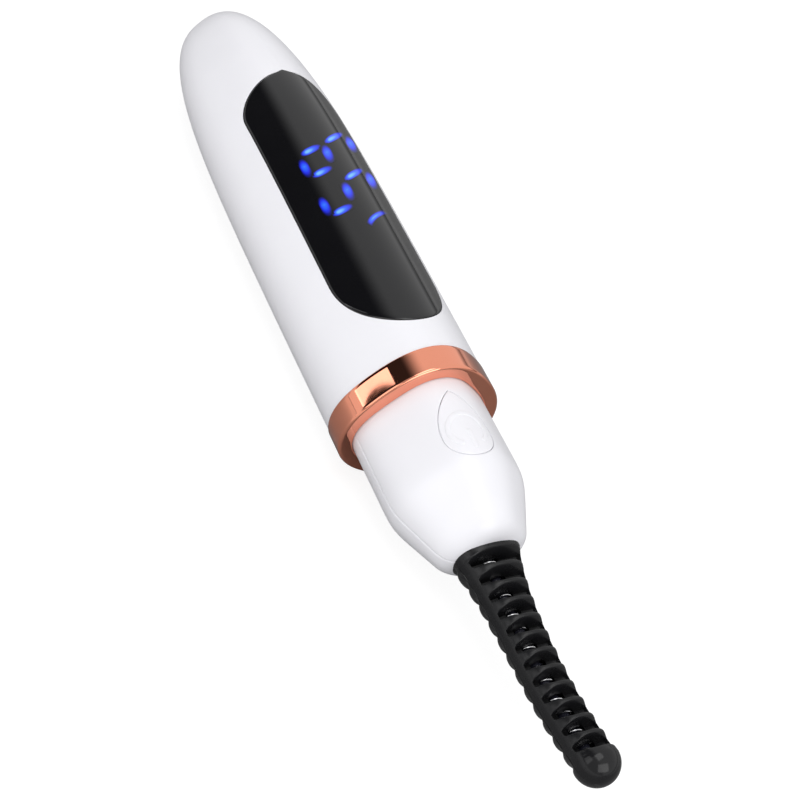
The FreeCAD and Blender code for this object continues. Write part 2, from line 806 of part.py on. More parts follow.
def build_collar():
    """A heat-proof collar that holds the heater's rod behind the comb, inside the neck."""
    gap = size("chassis_gap")
    front = size("collar_rear") + size("collar_length")
    block = form("collar_block", neck_form(size("neck_wall") + gap, size("collar_rear"), front))
    bore = cylinder("collar_bore", (along("dims.collar_rear - 1"), "0", up("-dims.coil_drop")),
                    "dims.core_radius", "dims.collar_length + 2", Vector(1, 0, 0))
    slot_corner = (along("dims.collar_rear - 1"), "-dims.collar_slot_width / 2",
                   up("-dims.coil_drop - dims.collar_slot_drop"))
    slot_sides = ("dims.collar_length + 2", "dims.collar_slot_width", "dims.collar_slot_height")
    slot = box("collar_slot", slot_corner, slot_sides)
    keep(cut("collar", block, bore, slot), "comb_collar")


def build_heater():
    """A ceramic rod with a heating wire wound round it."""
    forwards = Vector(1, 0, 0)
    keep(cylinder("heater_rod", (along("dims.core_rear"), "0", up("-dims.coil_drop")), "dims.core_radius",
                  "dims.core_front - dims.core_rear", forwards), "heater_core")
    helix = Part.makeHelix(size("coil_pitch"), size("coil_length"), size("coil_radius"))
    start = Vector(size("coil_radius"), 0, 0)
    wire = Part.Wire([Part.makeCircle(size("coil_wire_radius"), start, Vector(0, 1, 0))])
    coil = Part.Wire(helix.Edges).makePipeShell([wire], True, True)
    thing = form("coil", coil)
    turn = FreeCAD.Rotation(Vector(0, 0, 1), forwards)
    thing.Placement = FreeCAD.Placement(Vector(0, 0, 0), turn)
    place(thing, (along("dims.coil_rear"), "0", up("-dims.coil_drop")))
    keep(thing, "heating_coil")


# ---- wires ----


def rounded_path(points):
    """Straight runs joined by tangent arcs, as large as the runs leave room for."""
    edges = []
    last = points[0]
    for before, corner, after in zip(points, points[1:], points[2:]):
        back = (before - corner)
        ahead = (after - corner)
        reach = 0.45 * min(back.Length, ahead.Length)
        back.normalize()
        ahead.normalize()
        start = corner + back * reach
        end = corner + ahead * reach
        half_turn = (math.pi - back.getAngle(ahead)) / 2
        radius = reach / math.tan(half_turn)
        towards = (back + ahead).normalize()
        middle = corner + towards * (radius / math.cos(half_turn) - radius)
        edges.append(Part.makeLine(last, start))
        edges.append(Part.Arc(start, middle, end).toShape())
        last = end
    edges.append(Part.makeLine(last, points[-1]))
    return Part.Wire(edges)


def wire_along(name, stations, radius):
    """A thin insulated wire through points given along, across and up from the device's axis."""
    origin = Vector(size("ring_front"), 0, size("axis_height"))
    points = [origin + Vector(*station) for station in stations]
    path = rounded_path(points)
    profile = Part.Wire([Part.makeCircle(radius, points[0], points[1] - points[0])])
    return form(name, path.makePipeShell([profile], True, False))


# The leads' routes, each point given along, across and up from the device's axis. The paired ones
# are for the left lead; the right one is its mirror image.
SOLDER_LEVEL = DIMENSIONS["board_bottom"] - DIMENSIONS["solder_gap"]
ROD_LEVEL = -DIMENSIONS["coil_drop"]
PLUS_ROUTE = ((-20.3, 2.8, -1.2), (-18.0, 2.8, -1.2), (-16.6, 3.1, 0.3), (-16.0, 3.3, SOLDER_LEVEL))
MINUS_ROUTE = ((-63.8, -2.8, -1.2), (-66.0, -2.8, -1.2), (-67.4, -3.1, 0.3), (-68.0, -3.3, SOLDER_LEVEL))
CHARGE_ROUTE = ((-70.5, 1.6, -4.1), (-70.5, 1.6, -2.2), (-69.4, 1.4, 0.2), (-68.4, 1.2, SOLDER_LEVEL))
HEATER_ROUTE = ((10.4, 2.2, SOLDER_LEVEL), (10.9, 2.1, 0.6), (12.4, 1.6, -0.9), (14.8, 1.25, ROD_LEVEL),
                (20.2, 1.25, ROD_LEVEL))
THERMISTOR_ROUTE = ((9.0, 0.8, SOLDER_LEVEL), (9.6, 0.7, 0.9), (11.6, 0.5, 0.1), (14.4, 0.4, -0.2),
                    (18.2, 0.3, -0.2))
BEAD_LEVEL = "-0.1"


def wire_pair(name, route, radius):
    """Two leads that mirror one another across the device's middle."""
    pair = []
    for number, hand in enumerate((-1, 1), start=1):
        stations = [(station, hand * side, height) for station, side, height in route]
        pair.append(wire_along("%s_%d" % (name, number), stations, radius))
    return group(name + "_pair", pair)


def build_wires():
    """Battery leads, heater leads and the thermistor's fine pair."""
    thick = size("battery_lead_radius")
    keep(wire_along("lead_red", PLUS_ROUTE, thick), "battery_lead_plus")
    keep(wire_along("lead_black", MINUS_ROUTE, thick), "battery_lead_minus")
    keep(wire_pair("charge_lead", CHARGE_ROUTE, size("lead_radius")), "charge_leads")
    keep(wire_pair("heater_lead", HEATER_ROUTE, size("lead_radius")), "heater_leads")
    keep(wire_pair("thermistor_lead", THERMISTOR_ROUTE, size("fine_radius")), "thermistor_leads")
    bead = doc.addObject("Part::Sphere", "bead")
    bead.setExpression("Radius", "dims.bead_radius")
    place(bead, (along("%.1f + dims.bead_radius" % THERMISTOR_ROUTE[-1][0]), "0", up(BEAD_LEVEL)))
    keep(bead, "thermistor")


# ---- circuit boards, battery and chassis ----

BOARD_TOP = "dims.board_bottom + dims.board_thickness"
SCREW_STATIONS = ("-66.4", "-17.6")
RIB_STATIONS = ("-65.3", "-20.3")
NOTCH_SIDES = ("-3.6", "2.0")


def build_boards():
    """The long main board and the small one that carries the charging socket."""
    board = new_body("board")
    sketch = sketch_on(board, "XY_Plane", up("dims.board_bottom"))
    draw_rectangle(sketch, along("-dims.board_rear"), "-dims.board_width / 2",
                   "dims.board_rear + dims.board_front", "dims.board_width")
    for station in SCREW_STATIONS:
        draw_circle(sketch, along(station), "0", "dims.board_hole_radius")
    pad(board, sketch, "dims.board_thickness")
    keep(board, "main_board")
    charge_board = new_body("charge_board_body")
    level = up("-dims.socket_drop - dims.socket_radius - dims.charge_board_thickness")
    sketch = sketch_on(charge_board, "XY_Plane", level)
    draw_rectangle(sketch, along("-dims.charge_board_rear"), "-dims.charge_board_width / 2",
                   "dims.charge_board_length", "dims.charge_board_width")
    pad(charge_board, sketch, "dims.charge_board_thickness")
    keep(charge_board, "charge_board")


def build_socket():
    """The charging socket: a steel shell, an insulator with its tongue, and the contacts."""
    shell = new_body("socket_shell")
    sketch = sketch_on(shell, "YZ_Plane", along("-dims.rear_length + dims.socket_recess"))
    level = up("-dims.socket_drop")
    draw_stadium(sketch, "0", level, "dims.socket_half_straight", "dims.socket_radius")
    draw_stadium(sketch, "0", level, "dims.socket_half_straight", "dims.socket_radius - dims.socket_wall")
    pad(shell, sketch, "dims.socket_length")
    keep(shell, "usb_shell")
    insulator = new_body("socket_insulator")
    mouth = "-dims.rear_length + dims.socket_recess"
    sketch = sketch_on(insulator, "YZ_Plane", along(mouth + " + dims.insulator_setback"))
    draw_stadium(sketch, "0", level, "dims.socket_half_straight", "dims.socket_radius - dims.socket_wall")
    pad(insulator, sketch, "dims.socket_length - dims.insulator_setback")
    tongue_corner = (along(mouth + " + dims.tongue_setback"), "-dims.tongue_width / 2",
                     up("-dims.socket_drop - dims.tongue_thickness / 2"))
    tongue_length = "dims.insulator_setback - dims.tongue_setback"
    tongue_sides = (tongue_length, "dims.tongue_width", "dims.tongue_thickness")
    tongue = box("socket_tongue", tongue_corner, tongue_sides)
    keep(fuse("socket_core", insulator, tongue), "usb_insulator")
    contacts = []
    first = "(dims.contact_count - 1) * dims.contact_pitch / 2 + dims.contact_width / 2"
    faces = (("upper", "dims.tongue_thickness / 2"),
             ("lower", "-dims.tongue_thickness / 2 - dims.contact_thickness"))
    for face, height in faces:
        for number in range(int(size("contact_count"))):
            side = "%d * dims.contact_pitch - (%s)" % (number, first)
            corner = (along(mouth + " + dims.contact_setback"), side, up("-dims.socket_drop + " + height))
            contacts.append(box("contact_%s_%d" % (face, number + 1), corner,
                                ("dims.contact_length", "dims.contact_width", "dims.contact_thickness")))
    keep(group("contacts", contacts), "usb_contacts")


# Chips on the board, each by its rear station, its right side, and its sizes along, across and up.
CONTROLLER = ("-14.5", "-2.6", "5.2", "5.2", "0.9")
CHARGER = ("-61", "-1.6", "3.2", "3.2", "0.8")
TRANSISTOR = ("1.5", "-1.5", "3", "3", "1.1")
SMALL_COUNT = 5
SMALL_PITCH = 2.6
CAPACITOR = (-7.5, "3.2", "1.6", "0.8", "0.8")
RESISTOR = (-7.5, "-4", "1", "0.5", "0.4")


def build_chips():
    """Chips and small parts soldered to the main board."""
    for name, chip in (("controller", CONTROLLER), ("charger", CHARGER)):
        keep(box(name, (along(chip[0]), chip[1], up(BOARD_TOP)), chip[2:]), name + "_chip")
    below = up("dims.board_bottom - " + TRANSISTOR[4])
    keep(box("transistor", (along(TRANSISTOR[0]), TRANSISTOR[1], below), TRANSISTOR[2:]), "heater_transistor")
    keep(chip_row("capacitor", CAPACITOR), "chip_capacitors")
    keep(chip_row("resistor", RESISTOR), "chip_resistors")


def chip_row(name, chip):
    """A row of equal small parts along the board."""
    row = []
    for number in range(SMALL_COUNT):
        corner = (along("%.1f" % (chip[0] + SMALL_PITCH * number)), chip[1], up(BOARD_TOP))
        row.append(box("%s_%d" % (name, number + 1), corner, chip[2:]))
    return group(name + "_row", row)


def segment_boxes(name, grow, level, height):
    """The fourteen bars of a two-digit display, grown sideways by an amount."""
    width = "dims.segment_width"
    long_bar = "(dims.digit_width - 2 * %s - 2 * dims.segment_gap + 2 * %s)" % (width, grow)
    tall_bar = "(dims.digit_height / 2 - 1.5 * %s - 2 * dims.segment_gap + 2 * %s)" % (width, grow)
    thick = "(%s + 2 * %s)" % (width, grow)
    middle = "-dims.display_rear + dims.display_length / 2"
    bars = []
    for digit in (-0.5, 0.5):
        centre = "(%s + %.1f * dims.digit_pitch)" % (middle, digit)
        for row in (-1, 0, 1):
            across = "%d * (dims.digit_height / 2 - %s / 2)" % (row, width)
            corner = (along("%s - %s / 2" % (centre, long_bar)), "%s - %s / 2" % (across, thick), level)
            bars.append(box("%s_bar_%d" % (name, len(bars)), corner, (long_bar, thick, height)))
        for side in (-1, 1):
            station = "%s + %d * (dims.digit_width / 2 - %s / 2)" % (centre, side, width)
            for half in (-1, 1):
                across = "%d * (dims.digit_height / 4 - %s / 4)" % (half, width)
                corner = (along("%s - %s / 2" % (station, thick)), "%s - %s / 2" % (across, tall_bar), level)
                bars.append(box("%s_bar_%d" % (name, len(bars)), corner, (thick, tall_bar, height)))
    return group(name, bars)


def build_display():
    """A two-digit module: an opaque block, light bars through it and lamps on the board below."""
    top = up(BOARD_TOP)
    block = new_body("display_block")
    sketch = sketch_on(block, "XY_Plane", top)
    draw_rectangle(sketch, along("-dims.display_rear"), "-dims.display_width / 2",
                   "dims.display_length", "dims.display_width")
    pad(block, sketch, "dims.display_height")
    holes = segment_boxes("light_well", "dims.segment_well_gap", up(BOARD_TOP + " - 0.5"),
                          "dims.display_height + 1")
    keep(cut("display_body", block, holes), "display_housing")
    keep(segment_boxes("light_bar", "0", up(BOARD_TOP + " + dims.light_bar_lift"),
                       "dims.display_height - dims.light_bar_lift"), "display_segments")
    keep(segment_boxes("lamp", "-dims.lamp_inset", top, "dims.lamp_height"), "display_leds")


def build_battery():
    """A cylindrical cell with its sleeve, its raised cap, welded tabs and a foam strip."""
    forwards = Vector(1, 0, 0)
    height = up("-dims.battery_drop")
    rear = "-dims.battery_rear"
    front = rear + " + dims.battery_length"
    keep(cylinder("cell", (along(rear), "0", height), "dims.battery_radius", "dims.battery_length",
                  forwards), "battery_cell")
    outer = cylinder("sleeve_outer", (along(rear), "0", height),
                     "dims.battery_radius + dims.sleeve_thickness", "dims.battery_length", forwards)
    inner = cylinder("sleeve_inner", (along(rear + " - 1"), "0", height), "dims.battery_radius",
                     "dims.battery_length + 2", forwards)
    keep(cut("sleeve", outer, inner), "battery_sleeve")
    keep(cylinder("cap", (along(front), "0", height), "dims.battery_cap_radius", "dims.battery_cap",
                  forwards), "battery_cap")
    tabs = []
    for number, station in enumerate((rear + " - dims.tab_thickness", front + " + dims.battery_cap")):
        corner = (along(station), "-dims.tab_width / 2", up("-dims.tab_drop"))
        sides = ("dims.tab_thickness", "dims.tab_width", "dims.tab_height")
        tabs.append(box("tab_%d" % (number + 1), corner, sides))
    keep(group("tabs", tabs), "battery_tabs")
    base = "dims.battery_radius + dims.sleeve_thickness - dims.battery_drop + dims.foam_gap"
    foam_corner = (along("-dims.foam_rear"), "-dims.foam_width / 2", up(base))
    foam_sides = ("dims.foam_length", "dims.foam_width", "dims.board_bottom - (%s)" % base)
    keep(box("foam", foam_corner, foam_sides), "battery_foam")


def build_chassis():
    """Two ribs and two rails that fit the barrel, carry the board and hold the battery's ends."""
    limit = form("chassis_limit", barrel_form(size("barrel_wall") + size("chassis_gap"), -10))
    parts = []
    rib_sides = ("dims.rib_thickness", "2 * dims.rib_half_width", "dims.rib_half_width + dims.board_bottom")
    for number, station in enumerate(RIB_STATIONS):
        corner = (along(station), "-dims.rib_half_width", up("-dims.rib_half_width"))
        parts.append(box("rib_%d" % (number + 1), corner, rib_sides))
    rail_length = "%s - (%s) + dims.rib_thickness" % (RIB_STATIONS[1], RIB_STATIONS[0])
    for number, edge in enumerate(("dims.rail_inner", "-dims.rail_inner - dims.rail_width")):
        corner = (along(RIB_STATIONS[0]), edge, up("dims.board_bottom - dims.rail_height"))
        sides = (rail_length, "dims.rail_width", "dims.rail_height")
        parts.append(box("rail_%d" % (number + 1), corner, sides))
    for number, station in enumerate(SCREW_STATIONS):
        parts.append(cylinder("boss_%d" % (number + 1),
                              (along(station), "0", up("dims.board_bottom - dims.boss_height")),
                              "dims.boss_radius", "dims.boss_height"))
    frame = common("chassis_frame", fuse("chassis_parts", *parts), limit)
    tools = []
    for number, (station, side) in enumerate(zip(RIB_STATIONS, NOTCH_SIDES)):
        corner = (along(station + " - 1"), side, up("-dims.notch_drop"))
        sides = ("dims.rib_thickness + 2", "dims.notch_width", "dims.notch_height")
        tools.append(box("lead_notch_%d" % (number + 1), corner, sides))
    for number, station in enumerate(SCREW_STATIONS):
        tools.append(cylinder("pilot_%d" % (number + 1),
                              (along(station), "0", up(BOARD_TOP + " - dims.screw_length - 0.1")),
                              "dims.screw_radius + dims.screw_clearance", "dims.screw_length"))
    keep(cut("chassis_cut", frame, *tools), "chassis")


def build_screws():
    """Two small screws that hold the main board on the chassis."""
    screws = []
    for number, station in enumerate(SCREW_STATIONS):
        shank_start = (along(station), "0", up(BOARD_TOP + " - dims.screw_length"))
        shank = cylinder("shank_%d" % (number + 1), shank_start, "dims.screw_radius", "dims.screw_length")
        head = cylinder("head_%d" % (number + 1), (along(station), "0", up(BOARD_TOP)),
                        "dims.screw_head_radius", "dims.screw_head_height")
        screws.append(fuse("screw_%d" % (number + 1), shank, head))
    keep(group("screws", screws), "board_screws")


def build_switch():
    """The press switch under the power button: base, spring dome, plunger and cover."""
    top = up(BOARD_TOP)
    middle = along("dims.switch_station")
    corner = (along("dims.switch_station - dims.switch_side / 2"), "-dims.switch_side / 2")
    base = new_body("switch_base_body")
    sketch = sketch_on(base, "XY_Plane", top)
    draw_rectangle(sketch, *corner, "dims.switch_side", "dims.switch_side")
    pad(base, sketch, "dims.switch_height")
    doc.recompute()
    sketch = sketch_on(base, "XY_Plane", up(BOARD_TOP + " + dims.switch_height"))
    draw_circle(sketch, middle, "0", "dims.switch_pocket_radius")
    pocket(base, sketch, "dims.switch_height - dims.switch_floor")
    keep(base, "switch_base")
    cover = box("cover_plate", (*corner, up(BOARD_TOP + " + dims.switch_height")),
                ("dims.switch_side", "dims.switch_side", "dims.switch_cover"))
    hole = cylinder("cover_hole", (middle, "0", top), "dims.plunger_radius + dims.plunger_clearance", "4")
    keep(cut("cover", cover, hole), "switch_cover")
    floor = BOARD_TOP + " + dims.switch_floor"
    foot_level = up(floor + " + dims.dome_spring_height + dims.plunger_gap")
    foot = cylinder("plunger_foot", (middle, "0", foot_level), "dims.plunger_foot_radius",
                    "dims.plunger_foot")
    stem_height = "dims.button_base - dims.plunger_gap - (%s + dims.dome_spring_height + %s)" % (
        floor, "dims.plunger_gap")
    stem = cylinder("plunger_stem", (middle, "0", foot_level), "dims.plunger_radius", stem_height)
    keep(fuse("plunger", foot, stem), "switch_plunger")
    keep(form("spring_dome", spring_dome()), "switch_dome")


def spring_dome():
    """A thin spring-steel cap that snaps over when the plunger presses its crown."""
    rise = size("dome_spring_height")
    rim = size("plunger_foot_radius")
    radius = (rim ** 2 + rise ** 2) / (2 * rise)
    floor = size("axis_height") + size("board_bottom") + size("board_thickness") + size("switch_floor")
    middle = Vector(size("ring_front") + size("switch_station"), 0, floor + rise - radius)
    ball = Part.makeSphere(radius, middle).cut(
        Part.makeSphere(radius - size("dome_spring_thickness"), middle))
    keeper = Part.makeCylinder(rim + 1, 2 * rise, Vector(middle.x, 0, floor))
    return ball.common(keeper)


def check_and_write():
    """Stop if anything failed to build; otherwise write one file for each sub-part."""
    doc.recompute()
    for thing in doc.Objects:
        bad = [word for word in thing.State if word in ("Invalid", "Error")]
        if bad:
            raise RuntimeError("%s is %s" % (thing.Name, bad))
    for piece in pieces:
        if piece.Shape.isNull() or not piece.Shape.isValid():
            raise RuntimeError("%s has no sound shape" % piece.Label)
    os.makedirs("parts", exist_ok=True)
    for piece in pieces:
        piece.Shape.exportStep("parts/%s.step" % piece.Label)
    print(len(pieces), "sub-parts written")


fill_sheet()
build_barrel()
build_lens()
build_trim_ring()
build_neck()
build_button()
build_comb()
build_collar()
build_heater()
build_boards()
build_socket()
build_chips()
build_display()
build_battery()
build_chassis()
build_screws()
build_switch()
build_wires()
check_and_write()
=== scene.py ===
"""Looks of the heated eyelash curler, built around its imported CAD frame.

Lengths are in mm in the device's own frame and become metres in place(): station runs along the barrel
from the trim ring's front face towards the comb's tip, side is +Y, and height is from the barrel's axis."""

import json
import math

import bmesh
import bpy
import numpy as np
from mathutils import Matrix, Vector


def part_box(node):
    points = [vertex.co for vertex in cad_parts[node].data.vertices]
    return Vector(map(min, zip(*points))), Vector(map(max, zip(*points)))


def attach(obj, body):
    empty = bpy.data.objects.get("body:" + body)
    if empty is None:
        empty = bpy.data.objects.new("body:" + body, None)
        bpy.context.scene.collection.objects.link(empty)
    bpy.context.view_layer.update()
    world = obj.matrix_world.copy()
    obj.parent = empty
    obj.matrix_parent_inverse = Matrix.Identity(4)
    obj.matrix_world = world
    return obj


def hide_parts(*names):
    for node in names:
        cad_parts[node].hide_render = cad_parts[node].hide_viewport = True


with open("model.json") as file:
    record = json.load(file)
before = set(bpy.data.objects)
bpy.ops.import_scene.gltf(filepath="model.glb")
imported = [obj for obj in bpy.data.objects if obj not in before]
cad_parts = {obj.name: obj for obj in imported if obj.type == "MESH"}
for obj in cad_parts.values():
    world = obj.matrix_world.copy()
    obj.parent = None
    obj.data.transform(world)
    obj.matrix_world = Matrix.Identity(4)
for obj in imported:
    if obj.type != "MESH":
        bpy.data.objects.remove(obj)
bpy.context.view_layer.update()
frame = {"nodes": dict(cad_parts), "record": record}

MM = 0.001
RING_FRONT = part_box("trim_ring")[1].x / MM

# ---- dimensions, as in the CAD ----

MEAN_RADIUS = 11.0
BARREL_LOBES = (-0.0373, 0.0369, 0.0177)
RING_SWELL = 1.0214
AXIS_HEIGHT = MEAN_RADIUS * RING_SWELL * (1 + BARREL_LOBES[0] - BARREL_LOBES[1] + BARREL_LOBES[2])
BARREL_SWELL = 1.015
BARREL_TAPER = 0.008
TAPER_START = -40.0
TAPER_LENGTH = 36.0
REAR_LENGTH = 87.0
DOME_START = 16.3
DOME_FULLNESS = 4.5
DOME_ROUNDNESS = 2.4
DOME_DROP = 2.85
RING_WIDTH = 4.0
RING_EDGE = 0.45

LENS_REAR = -60.9
LENS_FRONT = -8.9
LENS_HALF_WIDTH = 7.8
LENS_REAR_ROUND = 7.2
LENS_FRONT_ROUND = 10.8
LENS_PROUD = 0.06
LENS_THICKNESS = 1.0

NECK_REACH = MEAN_RADIUS * 0.829
NECK_LOBES = (-0.0416, 0.0433, 0.0307)
NECK_DROP = 0.15
NECK_BEND = 13.0
NECK_SOFTNESS = 0.7
NECK_TAPER = 0.405
NECK_DROP_RATE = 0.05
NECK_FRONT = 21.91
NECK_ROUND = 3.0
NECK_ROUND_TILT = math.atan(NECK_TAPER)
NECK_ROUND_START = NECK_FRONT - NECK_ROUND * (1 - math.sin(NECK_ROUND_TILT))
NECK_WALL = 1.4
NECK_SEAM = -0.5
SEAM_GAP = 0.03

BUTTON_APEX = 2.05
BUTTON_CENTRE = 9.1
BUTTON_END_RADIUS = 3.45
BUTTON_SIDE_RADIUS = 8.5
BUTTON_GAP = 0.07
BUTTON_BASE = 5.3
BUTTON_MIDDLE = 8.2

COMB_HALF_WIDTH = 2.92
COMB_FLARE = 1.8
COMB_FLARE_LENGTH = 5.2
COMB_HEIGHT = 2.95
COMB_BACK_FLARE = 1.2
COMB_FRONT_FLARE = 0.45
COMB_LOW_POINT = 38.0
COMB_DROP = 1.75
COMB_BOW_REAR = 0.0045
COMB_BOW_FRONT = 0.009
COMB_TIP_RADIUS = 3.0
COMB_TIP_MIDDLE = 52.3
COMB_FULLNESS = 0.5
COMB_START = 20.2
SLOT_COUNT = 12
FIRST_SLOT = 23.4
SLOT_PITCH = 2.46
SLOT_FLOOR = 0.3

# ---- the device frame ----


def place(point):
    """Metres in the row frame for a (station, side, height) in mm."""
    return ((RING_FRONT + point[0]) * MM, point[1] * MM, (AXIS_HEIGHT + point[2]) * MM)


def ease(value, low, high):
    """0 at low and 1 at high, with a smooth step between."""
    way = np.clip((value - low) / (high - low), 0.0, 1.0)
    return way * way * (3 - 2 * way)


# ---- meshes ----


MERGE_DISTANCE = 2e-7
SHORTEST_EDGE = 1e-7


def make_mesh(name, points, faces, sharp_degrees=40):
    """A smooth-shaded object from points in mm, with coincident points merged and normals outward."""
    mesh = bpy.data.meshes.new(name)
    mesh.from_pydata([place(point) for point in points], [], faces)
    work = bmesh.new()
    work.from_mesh(mesh)
    bmesh.ops.remove_doubles(work, verts=work.verts, dist=MERGE_DISTANCE)
    bmesh.ops.dissolve_degenerate(work, edges=work.edges, dist=SHORTEST_EDGE)
    bmesh.ops.recalc_face_normals(work, faces=work.faces)
    if work.calc_volume(signed=True) < 0:
        bmesh.ops.reverse_faces(work, faces=work.faces)
    work.to_mesh(mesh)
    work.free()
    finish_mesh(mesh, sharp_degrees)
    thing = bpy.data.objects.new(name, mesh)
    bpy.context.scene.collection.objects.link(thing)
    return thing


def finish_mesh(mesh, sharp_degrees):
    """Smooth shading, apart from edges that are sharper than an angle."""
    mesh.polygons.foreach_set("use_smooth", [True] * len(mesh.polygons))
    mesh.set_sharp_from_angle(angle=math.radians(sharp_degrees))


def grid_faces(rows, columns, wrap_rows=False, wrap_columns=False, start=0):
    """Quads of a grid of points that are numbered row by row."""
    faces = []
    for row in range(rows if wrap_rows else rows - 1):
        below = (row + 1) % rows
        for column in range(columns if wrap_columns else columns - 1):
            beside = (column + 1) % columns
            faces.append((start + row * columns + column, start + row * columns + beside,
                          start + below * columns + beside, start + below * columns + column))
    return faces


def bridge(first, second):
    """Quads between two closed loops of point numbers."""
    count = len(first)
    faces = []
    for step in range(count):
        after = (step + 1) % count
        faces.append((first[step], first[after], second[after], second[step]))
    return faces


def tube(name, path, radius, sides=12, end_rounds=3):
    """A round bar along a path of points, with rounded ends."""
    path = np.asarray(path, float)
    tangents = np.gradient(path, axis=0)
    tangents /= np.linalg.norm(tangents, axis=1)[:, None]
    stations = [(path[0] - tangents[0] * radius * math.cos(a), tangents[0], radius * math.sin(a))
                for a in np.linspace(0.05, math.pi / 2, end_rounds, endpoint=False)]
    stations += [(point, tangent, radius) for point, tangent in zip(path, tangents)]
    stations += [(path[-1] + tangents[-1] * radius * math.sin(a), tangents[-1], radius * math.cos(a))
                 for a in np.linspace(0, math.pi / 2 - 0.05, end_rounds + 1)[1:]]
    normal = np.cross(tangents[0], (0.0, 0.0, 1.0))
    if np.linalg.norm(normal) < 0.1:
        normal = np.cross(tangents[0], (0.0, 1.0, 0.0))
    points = []
    for middle, tangent, reach in stations:
        normal = normal - tangent * normal.dot(tangent)
        normal /= np.linalg.norm(normal)
        binormal = np.cross(tangent, normal)
        for turn in np.linspace(0, 2 * math.pi, sides, endpoint=False):
            points.append(middle + reach * (math.cos(turn) * normal + math.sin(turn) * binormal))
    count = len(stations)
    faces = grid_faces(count, sides, wrap_columns=True)
    faces.append(tuple(range(sides)))
    faces.append(tuple(range((count - 1) * sides, count * sides)))
    return make_mesh(name, points, faces)


# ---- sections of the casing ----


HALVINGS = 40


def swing(turn, lobes):
    """The soft three-sided section's reach at a turn from the top, as a share of its mean reach."""
    return 1 + sum(lobe * np.cos(count * turn) for count, lobe in enumerate(lobes, start=2))


def turn_at_side(side, reach, lobes):
    """The turn from the top at which a section stands a given distance to the side."""
    low = np.zeros_like(side)
    high = np.full_like(side, 1.25)
    for _ in range(HALVINGS):
        middle = (low + high) / 2
        short = reach * swing(middle, lobes) * np.sin(middle) < np.abs(side)
        low = np.where(short, middle, low)
        high = np.where(short, high, middle)
    return low * np.sign(side)


def barrel_height(station, side, inset=0.0):
    """Height of the barrel's upper surface over a place seen from above."""
    taper = np.clip((station - TAPER_START) / TAPER_LENGTH, 0, None)
    way = np.clip((-DOME_START - station) / (REAR_LENGTH - DOME_START), 0, 1)
    fraction = (1 - way ** DOME_FULLNESS) ** (1 / DOME_ROUNDNESS)
    reach = (MEAN_RADIUS * (BARREL_SWELL - BARREL_TAPER * taper ** 2)) * fraction - inset
    turn = turn_at_side(side, reach, BARREL_LOBES)
    return -DOME_DROP * (1 - fraction) + reach * swing(turn, BARREL_LOBES) * np.cos(turn)


def past_bend(station):
    """How far a station is past the neck's bend, with a soft start."""
    return NECK_SOFTNESS * np.log1p(np.exp((station - NECK_BEND) / NECK_SOFTNESS))


def neck_height(station, side, inset=0.0):
    """Height of the neck's upper surface over a place seen from above."""
    bend = past_bend(station)
    reach = NECK_REACH - NECK_TAPER * bend - inset
    turn = turn_at_side(side, reach, NECK_LOBES)
    return -NECK_DROP - NECK_DROP_RATE * bend + reach * swing(turn, NECK_LOBES) * np.cos(turn)


# ---- materials ----


MATERIALS = {}


def add_node(tree, kind, **inputs):
    """A node with some of its inputs set; an underscore in a name stands for a space."""
    node = tree.nodes.new(kind)
    for key, value in inputs.items():
        node.inputs[key.replace("_", " ")].default_value = value
    return node


def noise(tree, coordinate, scale, detail=3.0, roughness=0.55):
    node = add_node(tree, "ShaderNodeTexNoise", Scale=scale, Detail=detail, Roughness=roughness)
    tree.links.new(coordinate, node.inputs["Vector"])
    return node.outputs["Fac"]


def map_range(tree, value, source, target):
    """A value taken from a source range to a target range, and held at the ends."""
    node = add_node(tree, "ShaderNodeMapRange", From_Min=source[0], From_Max=source[1],
                    To_Min=target[0], To_Max=target[1])
    tree.links.new(value, node.inputs["Value"])
    return node.outputs["Result"]


def spread(tree, value, low, high):
    """The middle of a noise stretched over a range."""
    return map_range(tree, value, (0.3, 0.7), (low, high))


def blend_colours(tree, factor, first, second):
    node = tree.nodes.new("ShaderNodeMix")
    node.data_type = "RGBA"
    node.inputs["A"].default_value = (*first, 1)
    node.inputs["B"].default_value = (*second, 1)
    tree.links.new(factor, node.inputs["Factor"])
    return node.outputs["Result"]


def bump(tree, height, strength, distance, below=None):
    node = add_node(tree, "ShaderNodeBump", Strength=strength, Distance=distance)
    tree.links.new(height, node.inputs["Height"])
    if below:
        tree.links.new(below, node.inputs["Normal"])
    return node.outputs["Normal"]


def axis_value(tree, vector, axis):
    """One coordinate of a vector."""
    parts = tree.nodes.new("ShaderNodeSeparateXYZ")
    tree.links.new(vector, parts.inputs["Vector"])
    return parts.outputs[axis]


def maths(tree, operation, first, second=None):
    """The result of a sum; each side is a number or another node's output."""
    node = tree.nodes.new("ShaderNodeMath")
    node.operation = operation
    for number, value in enumerate((first, second)):
        if value is None:
            continue
        if isinstance(value, (int, float)):
            node.inputs[number].default_value = value
        else:
            tree.links.new(value, node.inputs[number])
    return node.outputs["Value"]


POLISH_HALF_WIDTH = 0.4
POLISHED_SHARE = 0.45


def polish(tree, where, gloss, station):
    """Makes a surface smoother from a station on towards the comb's tip."""
    source = [(RING_FRONT + station + reach) * MM for reach in (-POLISH_HALF_WIDTH, POLISH_HALF_WIDTH)]
    share = map_range(tree, axis_value(tree, where, "X"), source, (1.0, POLISHED_SHARE))
    return maths(tree, "MULTIPLY", gloss, share)


